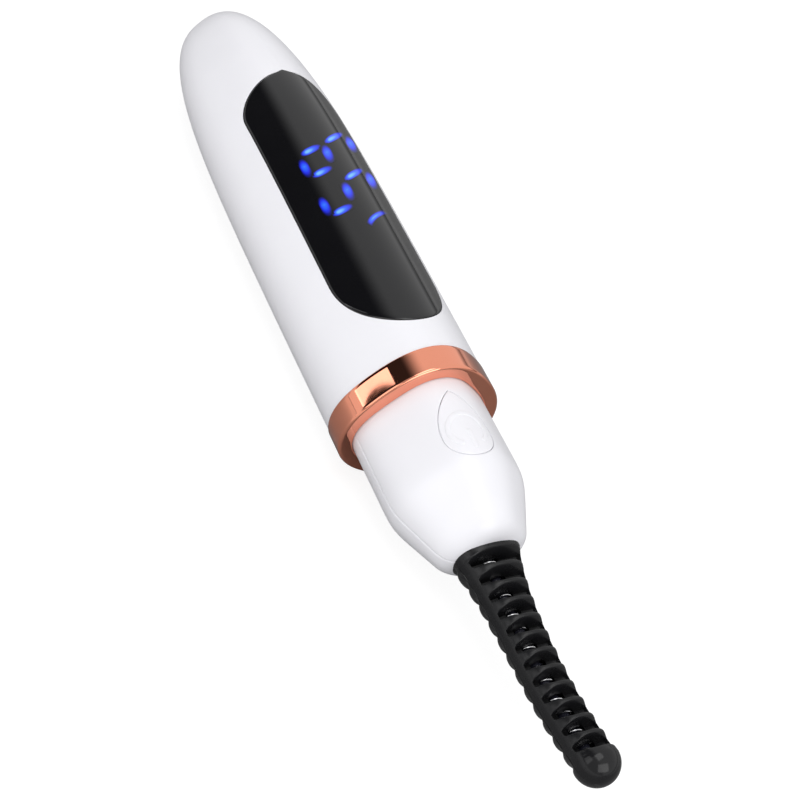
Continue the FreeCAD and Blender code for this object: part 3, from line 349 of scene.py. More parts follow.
def surface(name, colour, second, rough, metallic=0.0, colour_scale=120.0, rough_scale=400.0,
            grain=9000.0, grain_depth=2e-6, wave=0.0, polished_from=None, **sockets):
    """A moulded, plated or fired surface: two near colours, uneven gloss, and a fine grain in the bump."""
    material = bpy.data.materials.new(name)
    material.use_nodes = True
    tree = material.node_tree
    shader = tree.nodes["Principled BSDF"]
    where = tree.nodes.new("ShaderNodeTexCoord").outputs["Object"]
    tint = blend_colours(tree, spread(tree, noise(tree, where, colour_scale), 0, 1), colour, second)
    tree.links.new(tint, shader.inputs["Base Color"])
    gloss = spread(tree, noise(tree, where, rough_scale), rough[0], rough[1])
    if polished_from:
        gloss = polish(tree, where, gloss, polished_from)
    tree.links.new(gloss, shader.inputs["Roughness"])
    normal = bump(tree, noise(tree, where, grain, detail=2.0), 0.5, grain_depth)
    if wave:
        normal = bump(tree, noise(tree, where, 90.0, detail=1.0), 0.6, wave, normal)
    tree.links.new(normal, shader.inputs["Normal"])
    shader.inputs["Metallic"].default_value = metallic
    for key, value in sockets.items():
        shader.inputs[key.replace("_", " ")].default_value = value
    MATERIALS[name] = material


COMB_POLISH = 51.3

surface("white_shell", (0.80, 0.797, 0.835), (0.815, 0.812, 0.85), (0.3, 0.36), wave=4e-6)
surface("white_button", (0.80, 0.797, 0.835), (0.81, 0.807, 0.845), (0.34, 0.4), wave=2e-6)
surface("smoked_lens", (0.004, 0.004, 0.005), (0.005, 0.005, 0.006), (0.03, 0.045), grain_depth=2e-7)
surface("adhesive_black", (0.012, 0.012, 0.012), (0.02, 0.02, 0.02), (0.5, 0.65))
surface("rose_gold", (0.87, 0.33, 0.21), (0.89, 0.345, 0.225), (0.03, 0.06), metallic=1.0, grain=5000.0,
        grain_depth=1.5e-7, wave=2.5e-5)
surface("black_plastic", (0.02, 0.02, 0.022), (0.03, 0.03, 0.032), (0.4, 0.5))
surface("spring_steel", (0.55, 0.54, 0.52), (0.62, 0.61, 0.6), (0.22, 0.34), metallic=1.0)
surface("circuit_board", (0.01, 0.10, 0.035), (0.015, 0.16, 0.055), (0.3, 0.42), colour_scale=700.0)
surface("chip_black", (0.02, 0.02, 0.02), (0.035, 0.035, 0.035), (0.45, 0.6))
surface("ceramic_brown", (0.25, 0.13, 0.06), (0.33, 0.19, 0.10), (0.4, 0.5))
surface("display_black", (0.01, 0.01, 0.011), (0.016, 0.016, 0.017), (0.5, 0.6))
surface("cell_steel", (0.6, 0.6, 0.6), (0.7, 0.7, 0.7), (0.2, 0.3), metallic=1.0)
surface("sleeve_blue", (0.03, 0.10, 0.42), (0.04, 0.13, 0.5), (0.25, 0.35))
surface("nickel", (0.62, 0.6, 0.55), (0.7, 0.68, 0.62), (0.2, 0.35), metallic=1.0)
surface("foam_grey", (0.12, 0.12, 0.12), (0.2, 0.2, 0.2), (0.85, 0.95), grain=2500.0, grain_depth=8e-5)
surface("lead_red", (0.5, 0.02, 0.02), (0.58, 0.03, 0.03), (0.35, 0.45))
surface("lead_black", (0.015, 0.015, 0.015), (0.025, 0.025, 0.025), (0.35, 0.45))
surface("lead_white", (0.75, 0.74, 0.7), (0.8, 0.79, 0.76), (0.35, 0.45))
surface("socket_steel", (0.58, 0.58, 0.57), (0.66, 0.66, 0.65), (0.18, 0.3), metallic=1.0, grain=4000.0,
        grain_depth=1e-6)
surface("contact_gold", (0.85, 0.6, 0.25), (0.9, 0.66, 0.3), (0.15, 0.25), metallic=1.0)
surface("chassis_grey", (0.5, 0.51, 0.53), (0.56, 0.57, 0.59), (0.45, 0.55))
surface("screw_steel", (0.5, 0.5, 0.52), (0.6, 0.6, 0.62), (0.25, 0.4), metallic=1.0)
surface("comb_black", (0.007, 0.007, 0.008), (0.010, 0.010, 0.011), (0.24, 0.32), grain=5200.0,
        grain_depth=1.5e-6, wave=3e-6, polished_from=COMB_POLISH, Specular_IOR_Level=0.3)
surface("collar_grey", (0.25, 0.24, 0.22), (0.3, 0.29, 0.27), (0.5, 0.6))
surface("heater_ceramic", (0.016, 0.016, 0.026), (0.022, 0.022, 0.034), (0.2, 0.3))
surface("heating_wire", (0.93, 0.93, 0.95), (0.96, 0.96, 0.98), (0.16, 0.24), metallic=1.0, grain=9000.0,
        grain_depth=1e-6)
surface("bead_glass", (0.25, 0.12, 0.08), (0.32, 0.16, 0.1), (0.1, 0.2))
surface("fine_wire", (0.7, 0.5, 0.3), (0.75, 0.56, 0.36), (0.2, 0.3), metallic=1.0)


GLOW_COLOURS = ((0.0, (0.0, 0.0, 0.0)), (0.22, (0.004, 0.006, 0.20)), (0.46, (0.014, 0.03, 0.85)),
                (0.74, (0.03, 0.15, 1.0)), (1.0, (0.22, 0.62, 1.0)))


def glow_material():
    """The lit digits behind the smoked lens: bright in the middle of a stroke, fading to the lens's black."""
    material = MATERIALS["smoked_lens"].copy()
    material.name = "lit_blue"
    tree = material.node_tree
    shader = tree.nodes["Principled BSDF"]
    level = tree.nodes.new("ShaderNodeAttribute")
    level.attribute_name = "glow"
    ramp = tree.nodes.new("ShaderNodeValToRGB")
    stops = ramp.color_ramp.elements
    stops[0].color = (*GLOW_COLOURS[0][1], 1)
    stops[1].color = (*GLOW_COLOURS[-1][1], 1)
    for position, colour in GLOW_COLOURS[1:-1]:
        stops.new(position).color = (*colour, 1)
    tree.links.new(level.outputs["Fac"], ramp.inputs["Fac"])
    tree.links.new(ramp.outputs["Color"], shader.inputs["Emission Color"])
    shader.inputs["Emission Strength"].default_value = 1.0
    return material


MATERIALS["lit_blue"] = glow_material()


def wear(thing, body, slot):
    """Gives a piece the material named by a slot, and the body that it rides on."""
    thing.data.materials.clear()
    thing.data.materials.append(MATERIALS[slot])
    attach(thing, body)
    return thing


def dress_cad_nodes():
    """Every carried-over CAD node gets the procedural material of its slot."""
    for part in frame["record"]["subparts"]:
        node = frame["nodes"][part["node"]]
        node.data.materials.clear()
        node.data.materials.append(MATERIALS[part["material_slot"]])
        node.data.polygons.foreach_set("material_index", [0] * len(node.data.polygons))


# ---- the trim ring ----


RING_REAR_EDGE = ((0.12, 0.0), (0.03, 0.04), (0.0, 0.14))
HOLE_GAP = 0.05
HOLE_EDGE = 0.2


def build_ring():
    """A plated ring: an outer band with a rounded front edge, a flat front face, and the neck's hole."""
    turns = np.linspace(0, 2 * math.pi, 288, endpoint=False)

    def outer(inset):
        reach = (MEAN_RADIUS * RING_SWELL - inset) * swing(turns, BARREL_LOBES)
        return reach * np.sin(turns), reach * np.cos(turns)

    def hole(grow):
        reach = (NECK_REACH + grow) * swing(turns, NECK_LOBES)
        return reach * np.sin(turns), reach * np.cos(turns) - NECK_DROP

    rows = []
    for inset, forward in RING_REAR_EDGE:
        rows.append((forward - RING_WIDTH, *outer(inset)))
    for station in np.linspace(-RING_WIDTH + 0.5, -RING_EDGE - 0.2, 8):
        rows.append((station, *outer(0)))
    for turn in np.linspace(0, math.pi / 2, 9):
        rows.append((RING_EDGE * (math.sin(turn) - 1), *outer(RING_EDGE * (1 - math.cos(turn)))))
    edge, lip = outer(RING_EDGE), hole(HOLE_GAP + HOLE_EDGE)
    for way in np.linspace(0.15, 1, 7):
        rows.append((0.0, *(edge[axis] * (1 - way) + lip[axis] * way for axis in (0, 1))))
    for turn in np.linspace(math.pi / 8, math.pi / 2, 4):
        rows.append((HOLE_EDGE * (math.cos(turn) - 1), *hole(HOLE_GAP + HOLE_EDGE * (1 - math.sin(turn)))))
    rows.append((-RING_WIDTH, *hole(HOLE_GAP)))
    points = []
    for station, side, height in rows:
        points += list(zip(np.full_like(side, station), side, height))
    ring = make_mesh("rose_gold_ring", points, grid_faces(len(rows), len(turns), True, True), 50)
    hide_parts("trim_ring")
    return wear(ring, "handle", "rose_gold")


# ---- the neck's two shells ----


NECK_STATIONS = np.concatenate([np.linspace(-3.9, 1.0, 15), np.linspace(1.0, 13.6, 43)[1:],
                                np.linspace(13.6, NECK_ROUND_START, 19)[1:]])
NECK_ROUND_TURNS = np.linspace(NECK_ROUND_TILT, math.pi / 2, 15)[1:]
PATCH_ROWS = (14, 56)
NECK_COLUMNS = 50
PATCH_COLUMNS = 15
SEAM_ROLL = ((0.22, 0.0), (0.13, 0.008), (0.06, 0.035), (0.02, 0.08), (0.0, 0.14))
CAP_SHARES = (0.8, 0.55, 0.3, 0.0)
SMALLEST_REACH = 0.3
BUTTON_EDGE = ((0.1, 0.0), (0.05, 0.01), (0.02, 0.03), (0.0, 0.08))


def teardrop_reach(angle, grow=0.0):
    """How far the button's outline is from its middle at an angle from the tip's direction."""
    run = BUTTON_CENTRE - BUTTON_APEX
    lead = (BUTTON_SIDE_RADIUS ** 2 - (BUTTON_SIDE_RADIUS - BUTTON_END_RADIUS) ** 2 + run ** 2) / (2 * run)
    bow_side = math.sqrt(BUTTON_SIDE_RADIUS ** 2 - lead ** 2)
    bow = (BUTTON_APEX + lead, -bow_side)
    touch = math.atan2(bow_side, BUTTON_CENTRE - bow[0])
    touch_point = (BUTTON_CENTRE + BUTTON_END_RADIUS * math.cos(touch), BUTTON_END_RADIUS * math.sin(touch))
    touch_angle = math.atan2(touch_point[1], touch_point[0] - BUTTON_MIDDLE)
    angle = np.abs(np.arctan2(np.sin(angle), np.cos(angle)))
    across, upwards = np.cos(angle), np.sin(angle)

    def ray_to_circle(middle, radius):
        east, north = BUTTON_MIDDLE - middle[0], -middle[1]
        half = across * east + upwards * north
        return -half + np.sqrt(half ** 2 - (east ** 2 + north ** 2 - radius ** 2))

    round_end = ray_to_circle((BUTTON_CENTRE, 0.0), BUTTON_END_RADIUS + grow)
    long_side = ray_to_circle(bow, BUTTON_SIDE_RADIUS + grow)
    return np.where(angle < touch_angle, round_end, long_side)


def seam_turn(reach, lift, level):
    """The turn from the top at which a neck section comes down to the seam's height."""
    low, high = 0.5, 2.6
    for _ in range(HALVINGS):
        middle = (low + high) / 2
        if lift + reach * swing(middle, NECK_LOBES) * math.cos(middle) > level:
            low = middle
        else:
            high = middle
    return low


def neck_profile(inset):
    """(station, reach, lift) along the neck drawn in by an inset, to the end of its rounded front."""
    rows = []
    for station in NECK_STATIONS:
        bend = past_bend(station)
        rows.append((station, NECK_REACH - NECK_TAPER * bend - inset, -NECK_DROP - NECK_DROP_RATE * bend))
    bend = past_bend(NECK_ROUND_START)
    lift = -NECK_DROP - NECK_DROP_RATE * bend
    middle = NECK_ROUND_START - NECK_ROUND * math.sin(NECK_ROUND_TILT)
    full = NECK_REACH - NECK_TAPER * bend - NECK_ROUND * math.cos(NECK_ROUND_TILT)
    for turn in NECK_ROUND_TURNS:
        radius = NECK_ROUND - inset
        rows.append((middle + radius * math.sin(turn), full + radius * math.cos(turn), lift))
    return rows


def neck_layer(upper, inset, rolled):
    """Rows of points over one half of the neck and its flat front; rolled edges turn in at the seam."""
    level = NECK_SEAM + (SEAM_GAP if upper else -SEAM_GAP) / 2
    rows = []
    for station, reach, lift in neck_profile(inset):
        reach = max(reach, SMALLEST_REACH)
        limit = seam_turn(reach, lift, level)
        limit = limit if upper else math.pi - limit
        shares = [-1 + distance / (reach * limit) for distance, _ in reversed(SEAM_ROLL)]
        inner = np.linspace(shares[-1], -shares[-1], 2 * NECK_COLUMNS + 1)[1:-1]
        shares = shares + list(inner) + [-share for share in reversed(shares)]
        drops = [drop for _, drop in reversed(SEAM_ROLL)]
        drops = drops + [0.0] * len(inner) + drops[::-1]
        row = []
        for share, drop in zip(shares, drops):
            turn = share * limit + (0 if upper else math.pi)
            length = (reach - (drop if rolled else 0)) * swing(turn, NECK_LOBES)
            row.append((station, length * math.sin(turn), lift + length * math.cos(turn)))
        rows.append(row)
    last = rows[-1]
    middle = np.array((last[0][0], 0.0, level))
    for share in CAP_SHARES:
        rows.append([tuple(middle + share * (np.array(point) - middle)) for point in last])
    return rows


def opening_rings(layer, border, inset):
    """Rings of points from a patch's border in to the button's opening; the outer surface's edge turns in."""
    corners = np.array([layer[row][column] for row, column in border])
    angle = np.arctan2(corners[:, 1], corners[:, 0] - BUTTON_MIDDLE)
    edges = []
    for distance, drop in BUTTON_EDGE:
        reach = teardrop_reach(angle, BUTTON_GAP + distance)
        station = BUTTON_MIDDLE + reach * np.cos(angle)
        side = reach * np.sin(angle)
        height = neck_height(station, side, inset) - (drop if inset == 0 else 0)
        edges.append(np.stack([station, side, height], axis=1))
    between = []
    for way in np.linspace(0, 1, 9)[1:-1]:
        flat = corners * (1 - way) + edges[0] * way
        flat[:, 2] = neck_height(flat[:, 0], flat[:, 1], inset)
        between.append(flat)
    return between + edges


def build_neck_half(name, upper, node):
    """One half of the neck as a closed shell; the upper half has the button's opening."""
    layers = (neck_layer(upper, 0.0, True), neck_layer(upper, NECK_WALL, False))
    rows, columns = len(layers[0]), len(layers[0][0])
    half = rows * columns
    points = [point for layer in layers for row in layer for point in row]
    first_row, last_row = PATCH_ROWS
    left, right = columns // 2 - PATCH_COLUMNS, columns // 2 + PATCH_COLUMNS
    faces = []
    for start in (0, half):
        for number, face in enumerate(grid_faces(rows, columns)):
            row, column = divmod(number, columns - 1)
            if not (upper and first_row <= row < last_row and left <= column < right):
                faces.append(tuple(start + corner for corner in face))
    for column in (0, columns - 1):
        for row in range(rows - 1):
            a, b = row * columns + column, (row + 1) * columns + column
            faces.append((a, b, half + b, half + a))
    for column in range(columns - 1):
        faces.append((column, column + 1, half + column + 1, half + column))
    if upper:
        border = [(first_row, column) for column in range(left, right)]
        border += [(row, right) for row in range(first_row, last_row)]
        border += [(last_row, column) for column in range(right, left, -1)]
        border += [(row, left) for row in range(last_row, first_row, -1)]
        edges = []
        for layer, inset, base in zip(layers, (0.0, NECK_WALL), (0, half)):
            rings = opening_rings(layer, border, inset)
            start, count = len(points), len(border)
            points += [tuple(point) for ring in rings for point in ring]
            outline = [base + row * columns + column for row, column in border]
            faces += bridge(outline, range(start, start + count))
            faces += grid_faces(len(rings), count, wrap_columns=True, start=start)
            edges.append(range(len(points) - count, len(points)))
        faces += bridge(*edges)
    shell = make_mesh(name, points, faces, 60)
    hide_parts(node)
    return wear(shell, "handle", "white_shell")


# ---- the power button ----


def build_button():
    """A teardrop cap that follows the neck's surface, with softly rounded edges."""
    angles = np.linspace(0, 2 * math.pi, 160, endpoint=False)
    rings = []
    for share in np.linspace(0.04, 1, 22):
        rings.append((share * teardrop_reach(angles, -BUTTON_EDGE[0][0]), 0.0))
    for distance, drop in BUTTON_EDGE[1:]:
        rings.append((teardrop_reach(angles, -distance), drop))
    points = []
    for reach, drop in rings:
        station = BUTTON_MIDDLE + reach * np.cos(angles)
        side = reach * np.sin(angles)
        points += list(zip(station, side, neck_height(station, side) - drop))
    for share in (1.0, 0.5, 0.04):
        reach = share * teardrop_reach(angles, 0.0)
        station = BUTTON_MIDDLE + reach * np.cos(angles)
        points += list(zip(station, reach * np.sin(angles), np.full_like(reach, BUTTON_BASE)))
    count = len(angles)
    rows = len(rings) + 3
    faces = grid_faces(rows, count, wrap_columns=True)
    faces.append(tuple(range(count)))
    faces.append(tuple(range((rows - 1) * count, rows * count)))
    button = make_mesh("teardrop_button", points, faces, 60)
    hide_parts("power_button")
    return wear(button, "button", "white_button")


SYMBOL_MIDDLE = 8.4
SYMBOL_RADIUS = 2.55
SYMBOL_WIDTH = 0.7
SYMBOL_HEIGHT = 0.075
SYMBOL_GAP_DEGREES = 38
SYMBOL_LINE = (8.8, 11.3)
BEAD_PROFILE = ((-1.0, -0.3), (-0.97, 0.35), (-0.86, 0.75), (-0.6, 0.97), (0.0, 1.0),
                (0.6, 0.97), (0.86, 0.75), (0.97, 0.35), (1.0, -0.3), (0.0, -0.6))


def raised_line(name, path):
    """A low rounded bead along a path of (station, side) on the button's surface."""
    path = np.asarray(path, float)
    tangents = np.gradient(path, axis=0)
    tangents /= np.linalg.norm(tangents, axis=1)[:, None]
    normals = np.stack([-tangents[:, 1], tangents[:, 0]], axis=1)
    half = SYMBOL_WIDTH / 2
    rows = []
    for angle in np.linspace(0.1, math.pi / 2, 6, endpoint=False):
        rows.append((path[0] - tangents[0] * half * math.cos(angle), normals[0], math.sin(angle)))
    rows += list(zip(path, normals, np.ones(len(path))))
    for angle in np.linspace(0.1, math.pi / 2, 6, endpoint=False)[::-1]:
        rows.append((path[-1] + tangents[-1] * half * math.cos(angle), normals[-1], math.sin(angle)))
    points = []
    for middle, normal, narrow in rows:
        for across, high in BEAD_PROFILE:
            spot = middle + normal * across * half * narrow
            lift = SYMBOL_HEIGHT * (high if high < 0 else high * min(1, narrow * 1.2))
            points.append((spot[0], spot[1], float(neck_height(spot[:1], spot[1:])[0]) + lift))
    count = len(BEAD_PROFILE)
    faces = grid_faces(len(rows), count, wrap_columns=True)
    faces.append(tuple(range(count)))
    faces.append(tuple(range((len(rows) - 1) * count, len(rows) * count)))
    return wear(make_mesh(name, points, faces, 70), "button", "white_button")


def build_symbol():
    """The generic power mark on the button: an open ring and a short line."""
    turns = np.radians(np.linspace(SYMBOL_GAP_DEGREES, 360 - SYMBOL_GAP_DEGREES, 90))
    arc = [(SYMBOL_MIDDLE + SYMBOL_RADIUS * math.cos(turn), SYMBOL_RADIUS * math.sin(turn)) for turn in turns]
    raised_line("button_symbol_ring", arc)
    raised_line("button_symbol_line", [(station, 0.0) for station in np.linspace(*SYMBOL_LINE, 26)])


# ---- the display lens and its lit digits ----


def lens_outline(count):
    """(station, side) points round the lens, and the point of its middle line that each belongs to."""
    rear, front = LENS_REAR + LENS_REAR_ROUND, LENS_FRONT - LENS_FRONT_ROUND
    points, roots = [], []
    for turn in np.linspace(-math.pi / 2, math.pi / 2, count, endpoint=False):
        points.append((front + LENS_FRONT_ROUND * math.cos(turn), LENS_HALF_WIDTH * math.sin(turn)))
        roots.append((front, 0.0))
    for station in np.linspace(front, rear, count, endpoint=False):
        points.append((station, LENS_HALF_WIDTH))
        roots.append((station, 0.0))
    for turn in np.linspace(math.pi / 2, 3 * math.pi / 2, count, endpoint=False):
        points.append((rear + LENS_REAR_ROUND * math.cos(turn), LENS_HALF_WIDTH * math.sin(turn)))
        roots.append((rear, 0.0))
    for station in np.linspace(rear, front, count, endpoint=False):
        points.append((station, -LENS_HALF_WIDTH))
        roots.append((station, 0.0))
    return np.array(points), np.array(roots)


LENS_EDGE = ((0.34, 0.0), (0.22, 0.012), (0.12, 0.045), (0.05, 0.1), (0.01, 0.17), (0.0, 0.26))
NIB_LENGTH = 0.6
NIB_WIDTH = 1.9


def build_lens():
    """The curved smoked lens with rounded edges and the small moulding nib at its rear end."""
    outline, roots = lens_outline(96)
    nib = NIB_LENGTH * np.clip(1 - np.abs(outline[:, 1]) / NIB_WIDTH, 0, 1) ** 1.4
    nib *= outline[:, 0] < LENS_REAR + LENS_REAR_ROUND
    outline[:, 0] -= nib
    inward = roots - outline
    length = np.linalg.norm(inward, axis=1)[:, None]
    inward = inward / length
    rings = []
    for distance, drop in reversed(LENS_EDGE):
        rings.append((outline + inward * distance, LENS_PROUD - drop))
    start = outline + inward * LENS_EDGE[0][0]
    for way in np.linspace(0, 1, 20)[1:]:
        rings.append((start * (1 - way) + roots * way, LENS_PROUD))
    points = []
    underside = []
    for flat, proud in rings:
        height = barrel_height(flat[:, 0], flat[:, 1])
        points += list(zip(flat[:, 0], flat[:, 1], height + proud))
        below = barrel_height(flat[:, 0], flat[:, 1], LENS_THICKNESS)
        underside += list(zip(flat[:, 0], flat[:, 1], below))
    count = len(outline)
    half = len(points)
    faces = grid_faces(len(rings), count, wrap_columns=True)
    faces += grid_faces(len(rings), count, wrap_columns=True, start=half)
    faces += bridge(range(count), range(half, half + count))
    lens = make_mesh("smoked_display_lens", points + underside, faces, 60)
    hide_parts("display_lens")
    return wear(lens, "handle", "smoked_lens")


DIGIT_LEVEL = 9.0
DIGIT_PITCH = 7.9
DIGIT_SIDE = 1.0
FIRST_DIGIT = -43.3
DIGIT_SLANT = math.tan(math.radians(27))
DIGIT_HALF_WIDTH = 2.3
DIGIT_HALF_HEIGHT = 4.6
DIGIT_PROUD = 0.012
FLAT_HALF_LENGTH = 1.92
FLAT_HALF_WIDTH = 0.86
TALL_HALF_LENGTH = 1.9
TALL_HALF_WIDTH = 0.72
FLAT_GLOW = (0.8, -0.2)
TALL_GLOW = (1.1, -0.5)
GLOW_FADE = 0.42
STROKE_SLANT = 0.43
STROKE_SLANT_RISE = 0.045
SIGHT = (0.751, -0.639)
ARC_POINTS = np.array(((-28.5, 1.5), (-30.15, 2.45), (-31.1, 5.1)))
ARC_HALF_WIDTH = (0.42, 0.28)
ARC_GLOW = 0.85
DIGITS = ("top upper_left middle lower_left lower_right bottom", "top upper_left middle lower_right bottom")
SEGMENTS = {"top": (0, 1, True), "middle": (0, 0, True), "bottom": (0, -1, True),
            "upper_left": (-1, 0.5, False), "lower_left": (-1, -0.5, False), "lower_right": (1, -0.5, False)}


def onto_lens(across, upwards):
    """Where a point of the flat display shows on the lens for someone who looks from in front of it."""
    rise = np.zeros_like(across)
    for _ in range(30):
        station = across + SIGHT[0] * rise
        side = upwards + SIGHT[1] * rise
        rise = barrel_height(station, side) - DIGIT_LEVEL
    return station, side, barrel_height(station, side) + LENS_PROUD + DIGIT_PROUD


def build_digits():
    """The lit strokes of the two digits and the short arc after them."""
    points, faces, glow = [], [], []
    rows, columns = 25, 13
    way, over = np.meshgrid(np.linspace(-1, 1, rows), np.linspace(-1, 1, columns), indexing="ij")

    def add(across, upwards, level):
        faces.extend(grid_faces(rows, columns, start=len(points)))
        points.extend(zip(*onto_lens(across.ravel(), upwards.ravel())))
        glow.extend(level.ravel())

    for digit, names in enumerate(DIGITS):
        for name in names.split():
            column, row, flat = SEGMENTS[name]
            middle_up = DIGIT_SIDE + row * DIGIT_HALF_HEIGHT
            middle_across = FIRST_DIGIT + digit * DIGIT_PITCH + column * DIGIT_HALF_WIDTH
            middle_across -= (row * DIGIT_HALF_HEIGHT) * DIGIT_SLANT
            slant = STROKE_SLANT + STROKE_SLANT_RISE * middle_up
            if flat:
                across = middle_across + way * FLAT_HALF_LENGTH - over * FLAT_HALF_WIDTH * slant
                upwards = middle_up + over * FLAT_HALF_WIDTH
            else:
                across = middle_across + over * TALL_HALF_WIDTH - way * TALL_HALF_LENGTH * slant
                upwards = middle_up + way * TALL_HALF_LENGTH
            spot = np.clip(np.abs(way) ** 2.2 + over ** 2, 0, 1)
            peak, centre = FLAT_GLOW if flat else TALL_GLOW
            core = peak - GLOW_FADE * np.clip(np.abs(way - centre), 0, 1)
            add(across, upwards, np.clip((1 - spot) ** 0.7 * core, 0, 1))
    share = (way + 1) / 2
    weights = ((1 - share) ** 2, 2 * share * (1 - share), share ** 2)
    across, upwards = (sum(weight * point[axis] for weight, point in zip(weights, ARC_POINTS))
                       + over * ARC_HALF_WIDTH[axis] for axis in (0, 1))
    add(across, upwards, np.clip(1 - np.abs(way) ** 2.5, 0, 1) * np.clip(1 - over ** 2, 0, 1) * ARC_GLOW)
    digits = make_mesh("lit_digits", points, faces)
    store = digits.data.attributes.new("glow", "FLOAT", "POINT")
    store.data.foreach_set("value", glow)
    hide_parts("display_segments")
    return wear(digits, "handle", "lit_blue")


# ---- the comb and its heater ----


TIP_SWELL = (50.5, 52.3)
TIP_TURNS = np.linspace(0, math.pi / 2, 20)[1:]
FRONT_SHARE = 0.25
SLOT_FLAT = 0.58
SLOT_CURVE = 0.6
SLOT_PINCH = 0.38
PINCH_START = (0.15, 0.85)
SLOT_NEAR_END = (0.74, 0.9)
SLOT_FAR_END = (0.86, 1.0)
GROOVE_DEPTH = 0.42
GROOVE_SHARPNESS = 1.3
FIRST_GROOVE = (21.0, 22.5)
LAST_GROOVE = (51.8, 52.6)
GROOVE_END = np.radians((68, 88))
COMB_EDGE_ROLL = 0.05
COMB_EDGE_RISE = 0.02
TUNNEL_RADIUS = 1.42
TUNNEL_RISE = -0.55
COIL_RADIUS = 1.12
COIL_PITCH = 0.95
COIL_WIRE = 0.13
TUNNEL_ENDS = (21.0, 50.9)
COIL_ENDS = (22.0, 50.6)
CORE_RADIUS = 0.85
CORE_ENDS = (17.0, 50.3)


def comb_middle(station):
    """Height of the bowed comb's middle line."""
    reach = np.clip(station, NECK_FRONT, COMB_TIP_MIDDLE) - COMB_LOW_POINT
    return np.where(reach < 0, COMB_BOW_REAR, COMB_BOW_FRONT) * reach ** 2 - COMB_DROP


def comb_outline(station, turns):
    """(side, height over the middle) of the comb's plain section at some turns from its top."""
    past_tip = station - COMB_TIP_MIDDLE
    if past_tip > 0:
        radius = math.sqrt(max(0.0, COMB_TIP_RADIUS ** 2 - past_tip ** 2))
        return radius * np.sin(turns), radius * np.cos(turns)
    flare = math.exp(-max(0.0, station - NECK_FRONT) / COMB_FLARE_LENGTH)
    half_width = COMB_HALF_WIDTH + COMB_FLARE * flare
    tip_swell = (COMB_TIP_RADIUS - COMB_HALF_WIDTH) * float(ease(station, *TIP_SWELL))
    half_width += tip_swell
    front = COMB_HEIGHT + COMB_FRONT_FLARE * flare + tip_swell / 2
    back = COMB_HEIGHT + COMB_BACK_FLARE * flare + tip_swell / 2
    way = (station - NECK_FRONT) / (COMB_TIP_MIDDLE - NECK_FRONT)
    fullness = COMB_FULLNESS * max(0.0, 1 - 2 * max(0.0, way))
    power = 2 + np.where(np.cos(turns) > 0, FRONT_SHARE, 1.0) * fullness
    height = np.where(np.cos(turns) > 0, front, back)
    reach = ((np.abs(np.sin(turns)) / half_width) ** power
             + (np.abs(np.cos(turns)) / height) ** power) ** (-1 / power)
    return reach * np.sin(turns), reach * np.cos(turns)


def rib_lines():
    """(station, how deep into a slot) along the comb's front: ribs with steep sides and round tops."""
    lines = [(station, 0.0) for station in np.linspace(COMB_START, FIRST_SLOT - SLOT_PITCH / 2, 8)]
    for number in range(SLOT_COUNT):
        middle = FIRST_SLOT + number * SLOT_PITCH
        half = []
        for turn in np.linspace(0, math.pi / 2, 11):
            half.append((SLOT_FLAT + SLOT_CURVE * (1 - math.cos(turn)), 1 - math.sin(turn)))
        lines += [(middle - reach, depth) for reach, depth in reversed(half)]
        lines += [(middle, 1.0)]
        lines += [(middle + reach, depth) for reach, depth in half]
    lines += [(station, 0.0) for station in np.linspace(lines[-1][0] + 0.2, COMB_TIP_MIDDLE, 4)]
    lines += [(COMB_TIP_MIDDLE + COMB_TIP_RADIUS * math.sin(turn), 0.0) for turn in TIP_TURNS]
    return lines


def comb_half(name, lines, turns, shape):
    """A closed half of the comb: its sculpted surface, and the flat parting face that closes it."""
    points = []
    for station, depth in lines:
        side, height = comb_outline(station, turns)
        stations, side, height = shape(station, depth, side, height)
        middle = float(comb_middle(station))
        points += [(x, y, middle + h) for x, y, h in zip(stations, side, height)]
    count = len(turns)
    faces = grid_faces(len(lines), count)
    for row in range(len(lines) - 1):
        faces.append((row * count, row * count + count - 1, (row + 1) * count + count - 1, (row + 1) * count))
    faces.append(tuple(range(count)))
    return make_mesh(name, points, faces, 35)


def roll_in(side, height, upwards):
    """Turns the last points at the parting line in by a little, so the seam shows as a fine groove."""
    side, height = side.copy(), height.copy()
    half_width = np.abs(side).max()
    side[0] *= 1 - COMB_EDGE_ROLL
    side[-1] *= 1 - COMB_EDGE_ROLL
    height[0] = height[-1] = 0.0
    height[1] = height[-2] = upwards * COMB_EDGE_RISE * half_width
    return side, height


def front_shape(station, depth, side, height):
    """The slotted front: the ribs stand over the slots' flat floor, and the slots narrow at the near end."""
    half_width = max(1e-6, float(np.abs(side).max()))
    share = side / half_width
    reach = np.where(share < 0, 1 - ease(-share, *SLOT_NEAR_END), 1 - ease(share, *SLOT_FAR_END))
    height = height - depth * reach * np.clip(height - SLOT_FLOOR, 0, None)
    number = min(max(round((station - FIRST_SLOT) / SLOT_PITCH), 0), SLOT_COUNT - 1)
    middle = FIRST_SLOT + number * SLOT_PITCH
    pinch = SLOT_PINCH * ease(-share, *PINCH_START) * (abs(station - middle) < SLOT_PITCH / 2)
    return station + (middle - station) * pinch, *roll_in(side, height, 1)


def back_shape(station, depth, side, height):
    """The scalloped back: a shallow groove between two ribs, fading out at the parting line."""
    phase = (station - FIRST_SLOT) / SLOT_PITCH + 0.5
    valley = (1 - abs(math.sin(math.pi * phase))) ** GROOVE_SHARPNESS
    valley *= float(ease(station, *FIRST_GROOVE)) * (1 - float(ease(station, *LAST_GROOVE)))
    turn = np.arctan2(np.abs(side), -height)
    fade = 1 - ease(turn, *GROOVE_END)
    length = np.hypot(side, height) + 1e-9
    shrink = 1 - GROOVE_DEPTH * valley * fade / length
    return np.full_like(side, station), *roll_in(side * shrink, height * shrink, -1)


